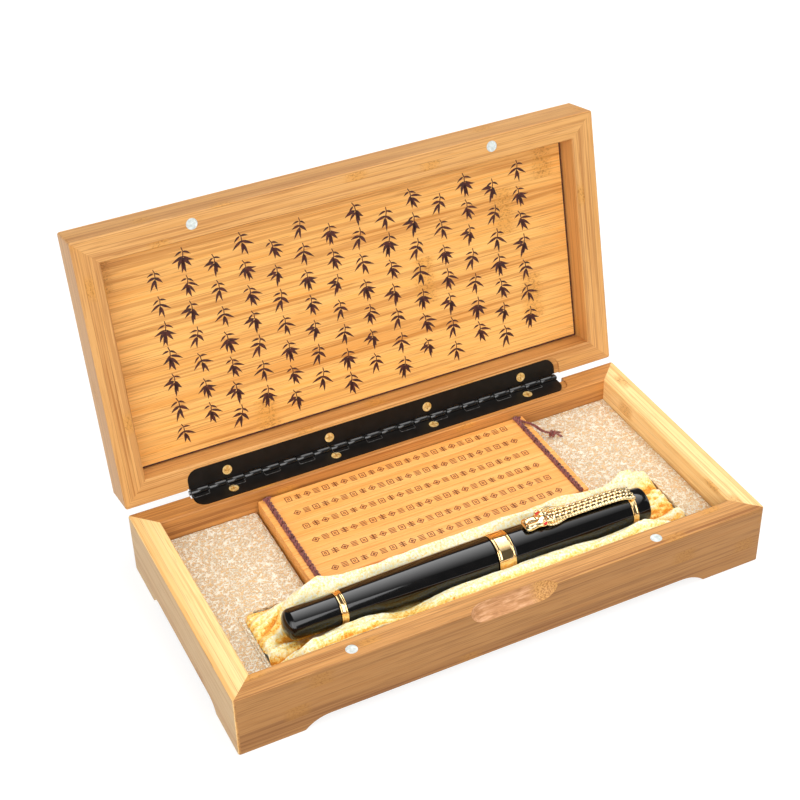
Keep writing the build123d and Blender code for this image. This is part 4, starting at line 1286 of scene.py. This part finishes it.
def makeTailCord():
    # The loose end of the right cord, its knot with two tufts, and the small bow on each cord
    c = tailCord
    top = topOfBook()
    knotX, knotY, knotZ = c["knot"]
    half = book["length"] / 2 - book["cordInset"]
    right, left = book["middle"] + half, book["middle"] - half
    route = bend([
        (right + 0.6, 41.6, top + 0.75), (right + 1.6, 39.6, top + 0.8), (right + 3.1, 37.4, top + 0.85),
        (right + 4.7, 35.6, top + 0.2), (right + 7.4, 33.8, 20.4), (knotX, 32.0, knotZ),
    ], 60)
    parts = twisted(route, c["strand"], c["bundle"], c["strands"], c["turn"], 8)
    knot = []
    for k in range(81):
        t = tau * k / 80
        x = knotX + 1.1 * cos(t) + 0.2 * sin(3 * t)
        knot.append((x, knotY + 1.0 * sin(t) * cos(t * 2), knotZ + 0.75 * sin(t * 3)))
    parts.append(tube(knot, [0.42] * 81, 9))
    for aim in c["tufts"]:
        start = Vector((knotX + 0.3, knotY - 0.2, knotZ))
        for k in range(c["hairs"]):
            rng = random.Random(k * 13 + int(aim[0] * 10))
            stray = Vector((rng.uniform(-0.5, 0.5), rng.uniform(-0.6, 0.6), rng.uniform(-0.2, 0.3)))
            end = start + Vector(aim) + stray
            middle = (start + end) / 2 + Vector((0, 0, 0.5))
            parts.append(tube(bend([start, middle, end], 10), [0.2 - 0.008 * m for m in range(11)], 6))
    piece = joinParts("tailCord", parts)
    settle(piece, "top_leaf", "cord", finishes["cord"], "book_tail_cord")

    bowParts = []
    for x, y in ((left, 42.9), (right, 42.3)):
        for lean in (-1, 1):
            loop = [
                (
                    x + lean * (0.3 + 1.25 * sin(t)),
                    y + 0.75 * sin(t) * cos(t) + 0.2 * lean,
                    top + 0.78 + 0.35 * sin(t),
                )
                for t in [pi * k / 24 for k in range(25)]
            ]
            bowParts.append(tube(loop, [0.3] * 25, 8))
        wrap = [
            (x + 0.75 * cos(t), y + 0.5 * sin(t), top + 0.85 + 0.3 * sin(t * 2))
            for t in [tau * k / 24 for k in range(25)]
        ]
        bowParts.append(tube(wrap, [0.33] * 25, 8))
    bows = joinParts("cordBows", bowParts)
    settle(bows, "top_leaf", "cord", finishes["cord"])
    print("knots tied")


makeTailCord()


def brick(acrossX, acrossY, acrossZ):
    corners = [(x, y, z) for x in acrossX for y in acrossY for z in acrossZ]
    sides = [(0, 1, 3, 2), (4, 6, 7, 5), (0, 4, 5, 1), (2, 3, 7, 6), (0, 2, 6, 4), (1, 5, 7, 3)]
    return corners, sides


hingeTrim = {
    "left": -83.7, "pitch": 7.54, "knuckles": 22, "line": 0.11, "lineHeight": 27.14,
    "lipDepth": (53.9, 57.7), "lipHeight": (28.78, 28.98),
    "sleeve": [(0.0, 1.3), (0.05, 1.46), (0.25, 1.56)],  # from a knuckle's end, radius
}


def makeHingeTrim():
    # A lip on the lid's leaf behind the knuckles, a grey line round each slot of the fixed leaf as painted
    # highlight on the slot's edge, and the sleeves
    h = hingeTrim
    left, right = h["left"], h["left"] + h["pitch"] * h["knuckles"]
    corners, sides = brick((left + 0.2, right - 0.2), h["lipDepth"], h["lipHeight"])
    lip = mesh("hingeLip", corners, sides, lidTurn, False)
    settle(lip, "lid", "hinge_black", finishes["hinge"])
    parts = []
    z = h["lineHeight"]
    for number in range(0, h["knuckles"], 2):
        a, b = left + h["pitch"] * number + 0.5, left + h["pitch"] * (number + 1) - 0.5
        line = [(a, 54.5, z), (a, 52.9, z), (a + 0.3, 52.7, z)]
        line += [(b - 0.3, 52.7, z), (b, 52.9, z), (b, 54.5, z)]
        parts.append(tube(line, [h["line"]] * 6, 8))
    # The grey lines are painted highlight where the slots' edges catch light
    settle(joinParts("hingeLines", parts), "box", "pin_steel", finishes["slotEdgeHighlight"])
    for body, first in (("lid", 0), ("box", 1)):
        sleeves = []
        for number in range(first, h["knuckles"], 2):
            a, b = left + h["pitch"] * number + 0.12, left + h["pitch"] * (number + 1) - 0.12
            stations = [(a + step, radius) for step, radius in h["sleeve"]]
            stations += [(b - step, radius) for step, radius in h["sleeve"][::-1]]
            route = [(x, hinge["y"], hinge["z"]) for x, radius in stations]
            sleeves.append(tube(route, [radius for x, radius in stations], 40))
        barrel = joinParts(f"hingeSleeves{first}", sleeves, lidTurn if body == "lid" else None, 50)
        settle(barrel, body, "hinge_black", finishes["hingeBarrel"])
    print("hinge trimmed")


makeHingeTrim()


edgeTrim = {
    "gapShadeHeight": (37.25, 37.45),
    "joints": [(-99.5, 99.5, 44.0, 44.55), (98.95, 99.5, -44.5, 44.5), (-99.5, -99.2, -44.5, 44.5)],
    "welt": 0.3,
    "weltHeight": 17.05,
    "welts": [(-89.4, -42.6, -10.4), (-90.3, -42.6, -9.6), (-62.2, -8.0, 44.4)],  # x, front, back
}


def makeEdgeTrim():
    # Dark strips in the gap round the lid's inner panel as painted shade of the gap, and the paper's turned
    # edge round the liner's openings
    e = edgeTrim
    # Thin dark strips along three edges of the panel: painted shade in its gap
    joints = [brick((x0, x1), (y0, y1), e["gapShadeHeight"]) for x0, x1, y0, y1 in e["joints"]]
    settle(joinParts("panelJoint", joints, lidTurn, 30), "lid", "bamboo_panel", finishes["burntAndGapShade"])

    welts = []
    z = e["weltHeight"]
    for x, front, back in e["welts"]:
        route = bend([(x, front, z), (x + 0.05, (front + back) / 2, 17.12), (x, back, z)], 40)
        welts.append(tube(route, [e["welt"]] * 41, 10))
    corner = bend([(-90.3, -9.6, z), (-89.6, -8.2, 17.1), (-87.5, -7.6, 17.1), (-84, -7.5, z)], 30)
    welts.append(tube(corner, [e["welt"]] * 31, 10))
    settle(joinParts("linerWelts", welts), "box", "liner_paper", finishes["paper"])
    print("edges trimmed")


makeEdgeTrim()


def modifierTree(name, inputs):
    # A geometry tree with named inputs; gives the recipe, its input sockets and their identifiers
    tree = bpy.data.node_groups.new(name, "GeometryNodeTree")
    tree.interface.new_socket("Geometry", in_out="OUTPUT", socket_type="NodeSocketGeometry")
    keys = {}
    for label, kind in inputs:
        socket = tree.interface.new_socket(label, in_out="INPUT", socket_type=f"NodeSocket{kind}")
        keys[label] = socket.identifier
    recipe = Recipe(tree)
    source = tree.nodes.new("NodeGroupInput")
    wires = {label: Wire(recipe, source.outputs[label]) for label, kind in inputs}
    return tree, recipe, wires, keys


def grow(name, tree, keys, values):
    # Runs a geometry tree on an empty piece and keeps the plain mesh
    seedMesh = bpy.data.meshes.new(name + "Seed")
    holder = bpy.data.objects.new(name + "Holder", seedMesh)
    bpy.context.scene.collection.objects.link(holder)
    modifier = holder.modifiers.new("grow", "NODES")
    modifier.node_group = tree
    for label, value in values.items():
        modifier[keys[label]] = value
    bpy.context.view_layer.update()
    graph = bpy.context.evaluated_depsgraph_get()
    made = bpy.data.meshes.new_from_object(holder.evaluated_get(graph))
    made.name = name
    bpy.data.objects.remove(holder)
    piece = bpy.data.objects.new(name, made)
    bpy.context.scene.collection.objects.link(piece)
    return piece


def motif(name, shapes, thick=0.05):
    # A flat ornament cut from outlines, as a thin closed solid at the origin, in metres
    points, faces = [], []
    for outline in shapes:
        start, count = len(points), len(outline)
        points += [(x / 1000, y / 1000, 0) for x, y in outline]
        points += [(x / 1000, y / 1000, thick / 1000) for x, y in outline]
        faces.append(tuple(start + k for k in range(count - 1, -1, -1)))
        faces.append(tuple(start + count + k for k in range(count)))
        for k in range(count):
            m = (k + 1) % count
            faces.append((start + k, start + m, start + count + m, start + count + k))
    data = bpy.data.meshes.new(name)
    data.from_pydata(points, [], faces)
    turnOutwards(data)
    return bpy.data.objects.new(name, data)


def leafShape(x, y, length, width, angle, bow=0.0):
    # One lance-shaped leaf from its stalk end
    outline = []
    count = 9
    for side, steps in ((1, range(count + 1)), (-1, range(count - 1, 0, -1))):
        for k in steps:
            t = k / count
            half = width * sin(pi * t**0.75) ** 0.9 * (1 - 0.35 * t)
            outline.append((length * t, bow * sin(pi * t) + side * half))
    a = radians(angle)
    return [(x + px * cos(a) - py * sin(a), y + px * sin(a) + py * cos(a)) for px, py in outline]


def stalkShape(points, width):
    left, right = [], []
    for k, (x, y) in enumerate(points):
        x0, y0 = points[max(k - 1, 0)]
        x1, y1 = points[min(k + 1, len(points) - 1)]
        size = hypot(x1 - x0, y1 - y0)
        nx, ny = -(y1 - y0) / size * width / 2, (x1 - x0) / size * width / 2
        left.append((x + nx, y + ny))
        right.append((x - nx, y - ny))
    return left + right[::-1]


sprays = {
    "columns": 14, "rows": 7, "pitchX": 12.1, "pitchY": 10.8, "drop": 0.5, "turn": 0.25, "smallest": 0.86,
    "seed": 7, "panelFace": 37.4, "proud": 0.02,
}


def scatterTree():
    # A half-drop layout: every second column stands half a row lower
    labels = [
        ("Motifs", "Collection"), ("Columns", "Int"), ("Rows", "Int"), ("Pitch X", "Float"),
        ("Pitch Y", "Float"), ("Drop", "Float"), ("Turn", "Float"), ("Smallest", "Float"), ("Seed", "Int"),
        ("Finish", "Material"),
    ]
    tree, r, w, keys = modifierTree("halfDrop", labels)
    count = r.add("ShaderNodeMath", {"operation": "MULTIPLY"}, {0: w["Columns"], 1: w["Rows"]})
    dots = r.add("GeometryNodePoints", None, {"Count": count})
    index = r.add("GeometryNodeInputIndex")
    column = index - (index / w["Columns"]).floor() * w["Columns"]
    row = (index / w["Columns"]).floor()
    odd = column - (column / 2.0).floor() * 2.0
    x = (column - (w["Columns"] - 1.0) / 2.0) * w["Pitch X"]
    y = (row - (w["Rows"] - 1.0) / 2.0 + odd * w["Drop"] - 0.5 * w["Drop"]) * w["Pitch Y"]
    placed = r.add("GeometryNodeSetPosition", None, {"Geometry": dots, "Position": r.join(x, y, 0.0)})
    draw = {"data_type": "FLOAT"}
    spin = r.add("FunctionNodeRandomValue", draw, {2: -1.0, 3: 1.0, "Seed": w["Seed"]}, output=1) * w["Turn"]
    sizes = {2: w["Smallest"], 3: 1.0, "Seed": w["Seed"] + 1.0}
    size = r.add("FunctionNodeRandomValue", draw, sizes, output=1)
    motifs = r.add("GeometryNodeCollectionInfo", None, {
        "Collection": w["Motifs"], "Separate Children": True, "Reset Children": True,
    })
    pick = r.add("ShaderNodeMath", {"operation": "ADD"}, {0: column, 1: row * 2.0})
    turn = r.add("FunctionNodeEulerToRotation", None, {0: r.join(0.0, 0.0, spin)})
    copies = r.add("GeometryNodeInstanceOnPoints", None, {
        "Points": placed, "Instance": motifs, "Pick Instance": True, "Instance Index": pick, "Rotation": turn,
        "Scale": r.join(size, size, 1.0),
    })
    real = r.add("GeometryNodeRealizeInstances", None, {"Geometry": copies})
    done = r.add("GeometryNodeSetMaterial", None, {"Geometry": real, "Material": w["Finish"]})
    r.add("NodeGroupOutput", None, {"Geometry": done})
    return tree, keys


def motifCollection(name, pieces):
    group = bpy.data.collections.new(name)
    for piece in pieces:
        group.objects.link(piece)
    return group


def makeSprays():
    # Sprigs of bamboo leaves burnt into the lid's inner panel
    kinds = []
    for k, (lean, count) in enumerate([(0, 4), (14, 5), (-12, 4), (6, 6), (-20, 5)]):
        rng = random.Random(40 + k)
        shapes = [stalkShape([(-0.3, 4.6), (0.3, 2.7), (0.1, 0.6), (-0.3, -1.4)], 0.42)]
        for m in range(count):
            t = m / max(count - 1, 1)
            angle = -90 + lean + (t - 0.5) * 118 + rng.uniform(-9, 9)
            base = 1.3 - 2.0 * (1 - abs(t - 0.5) * 1.6)
            long, wide, bow = rng.uniform(4.4, 6.0), rng.uniform(0.65, 0.95), rng.uniform(-0.5, 0.5)
            shapes.append(leafShape(rng.uniform(-0.25, 0.25), base, long, wide, angle, bow))
        for side in (-1, 1):
            long, lift = rng.uniform(2.9, 3.8), rng.uniform(52, 78)
            shapes.append(leafShape(0.15 * side, 2.9, long, 0.5, -90 + side * lift, 0.25 * side))
        kinds.append(motif(f"sprig{k}", shapes))
    tree, keys = scatterTree()
    s = sprays
    piece = grow("panelSprigs", tree, keys, {
        "Motifs": motifCollection("sprigs", kinds), "Columns": s["columns"], "Rows": s["rows"],
        "Pitch X": s["pitchX"] / 1000, "Pitch Y": s["pitchY"] / 1000, "Drop": s["drop"], "Turn": s["turn"],
        "Smallest": s["smallest"], "Seed": s["seed"], "Finish": finishes["burntAndGapShade"],
    })
    # From a flat sheet in metres onto the shut lid's panel, then open with the lid
    face = Matrix.Translation((0, 0, s["panelFace"] + s["proud"])) @ Matrix.Rotation(pi, 4, "X")
    piece.data.transform(toRow @ lidTurn @ face @ Matrix.Diagonal((1000, 1000, 1000, 1)))
    settle(piece, "lid", "bamboo_panel", finishes["burntAndGapShade"])
    return tree, keys


marks = {
    "columns": 25, "pitchX": 4.05, "turn": 0.03, "smallest": 0.92, "seed": 3, "thick": 0.04, "sunk": 0.015,
}


def bar(x0, y0, x1, y1):
    return [(x0, y0), (x1, y0), (x1, y1), (x0, y1)]


def bars(count, wide, high):
    places = [(k - (count - 1) / 2) * high * 4.2 for k in range(count)]
    return [bar(-wide, y - high, wide, y + high) for y in places]


def border(wide, high, line):
    return [
        bar(-wide, -high, wide, -high + line),
        bar(-wide, high - line, wide, high),
        bar(-wide, -high + line, -wide + line, high - line),
        bar(wide - line, -high + line, wide, high - line),
    ]


def lozenge(size, hole):
    sides = []
    corners = [(size, 0), (0, size), (-size, 0), (0, -size)]
    for k in range(4):
        (x0, y0), (x1, y1) = corners[k], corners[(k + 1) % 4]
        sides.append([(x0, y0), (x1, y1), (x1 * hole, y1 * hole), (x0 * hole, y0 * hole)])
    return sides


def makeMarks(tree, keys):
    # Each slip of the top leaf carries one row of small ornaments
    m = marks
    shapes = [
        lozenge(1.75, 0.7) + lozenge(0.75, 0.02),
        bars(4, 1.35, 0.2),
        border(1.4, 1.5, 0.38) + border(0.5, 0.6, 0.3),
        bars(3, 1.4, 0.22) + [bar(-0.22, -1.7, 0.22, 1.7)],
    ]
    kinds = [motif(f"mark{k}", shape, m["thick"]) for k, shape in enumerate(shapes)]
    piece = grow("slipOrnaments", tree, keys, {
        "Motifs": motifCollection("marks", kinds), "Columns": m["columns"], "Rows": book["slips"],
        "Pitch X": m["pitchX"] / 1000, "Pitch Y": book["pitch"] / 1000, "Drop": 0.0, "Turn": m["turn"],
        "Smallest": m["smallest"], "Seed": m["seed"], "Finish": finishes["ink"],
    })
    middle = (book["front"] + book["back"]) / 2
    place = Matrix.Translation((book["middle"], middle, topOfBook() - m["sunk"]))
    face = place @ Matrix.Diagonal((1000, 1000, 1000, 1))
    piece.data.transform(toRow @ face)
    settle(piece, "top_leaf", "bamboo_slip", finishes["ink"])
    print("ornaments laid")


tree, keys = makeSprays()
makeMarks(tree, keys)


# Floor, light and background

lightPlan = {
    "floor": (0.32, 0.315, 0.31, 1), "floorGlow": 0.75, "floorHalf": 4000, "ceiling": (0.11, 0.11, 0.113, 1),
    "ambient": 0.52, "ambientColour": (1.0, 0.985, 0.965, 1),
    "lamps": [  # name, place, aim, width, height, radiance at its near and far edge
        ("overPanel", (0.45, -0.1, 1.1), (0.45, -0.1, 0), 0.8, 1.75, 0.3, 4.1),
        ("frontPanel", (-0.6, -1.3, 0.85), (0, 0, 0.06), 2.0, 1.4, 2.8, 2.8),
        ("rightPanel", (1.5, -0.3, 0.9), (0, 0, 0.05), 1.0, 1.0, 1.6, 1.6),
        ("leftPanel", (-1.2, -0.5, 0.35), (0, 0, 0.05), 0.8, 0.8, 1.5, 1.5),
    ],
}


def makeStage():
    plan = lightPlan
    floorMaterial, r = newFinish("paleFloor")
    rays = r.add("ShaderNodeLightPath")
    mirrored = r.out(rays, "Is Glossy Ray").most(r.out(rays, "Is Transmission Ray"))
    seen = r.out(rays, "Is Camera Ray").most(mirrored)
    diffuse = r.add("ShaderNodeBsdfDiffuse", None, {"Color": plan["floor"]})
    glow = r.add("ShaderNodeEmission", None, {"Color": (1, 1, 1, 1), "Strength": plan["floorGlow"]})
    both = r.add("ShaderNodeAddShader", None, {0: diffuse, 1: glow})
    shader = r.add("ShaderNodeMixShader", None, {0: seen, 1: diffuse, 2: both})
    r.add("ShaderNodeOutputMaterial", None, {"Surface": shader})
    half = plan["floorHalf"]
    corners = [(-half, -half, -0.02), (half, -half, -0.02), (half, half, -0.02), (-half, half, -0.02)]
    floorPiece = mesh("floorSheet", corners, [(0, 1, 2, 3)])
    coat(floorPiece, floorMaterial)

    # Cameras see a white studio. Mirrors see white at the horizon and dark above, between the lamps
    world = bpy.data.worlds.new("studio")
    bpy.context.scene.world = world
    world.use_nodes = True
    world.node_tree.nodes.clear()
    w = Recipe(world.node_tree)
    rays = w.add("ShaderNodeLightPath")
    mirrored = w.out(rays, "Is Glossy Ray").most(w.out(rays, "Is Transmission Ray"))
    seen = w.out(rays, "Is Camera Ray").most(mirrored)
    y, z = w.split(w.add("ShaderNodeTexCoord", output="Generated"))[1:]
    dark = z.spread(0.0, 0.06).most(1.0 - y.spread(-0.6, 0.0)) * mirrored
    ceiling = w.mix(dark, (1, 1, 1, 1), plan["ceiling"])
    shown = w.add("ShaderNodeBackground", None, {"Color": ceiling, "Strength": 1.0})
    glow = {"Color": plan["ambientColour"], "Strength": plan["ambient"]}
    ambient = w.add("ShaderNodeBackground", None, glow)
    shader = w.add("ShaderNodeMixShader", None, {0: seen, 1: ambient, 2: shown})
    w.add("ShaderNodeOutputWorld", None, {"Surface": shader})

    for name, spot, aim, wide, high, near, far in plan["lamps"]:
        lamp = bpy.data.lights.new(name, "AREA")
        lamp.shape = "RECTANGLE"
        lamp.size, lamp.size_y = wide, high
        lamp.energy = pi * wide * high
        lamp.use_nodes = True
        lamp.node_tree.nodes.clear()
        shape = Recipe(lamp.node_tree)
        across = shape.split(shape.add("ShaderNodeNewGeometry", output="Parametric"))[1]
        strength = across.spread(0.0, 1.0, near, far)
        glow = shape.add("ShaderNodeEmission", None, {"Color": (1, 1, 1, 1), "Strength": strength})
        shape.add("ShaderNodeOutputLight", None, {"Surface": glow})
        holder = bpy.data.objects.new(name, lamp)
        bpy.context.scene.collection.objects.link(holder)
        holder.location = spot
        holder.rotation_euler = (Vector(aim) - Vector(spot)).to_track_quat("-Z", "Y").to_euler()
    bpy.context.scene.view_settings.view_transform = "Standard"
    print("stage set")


makeStage()
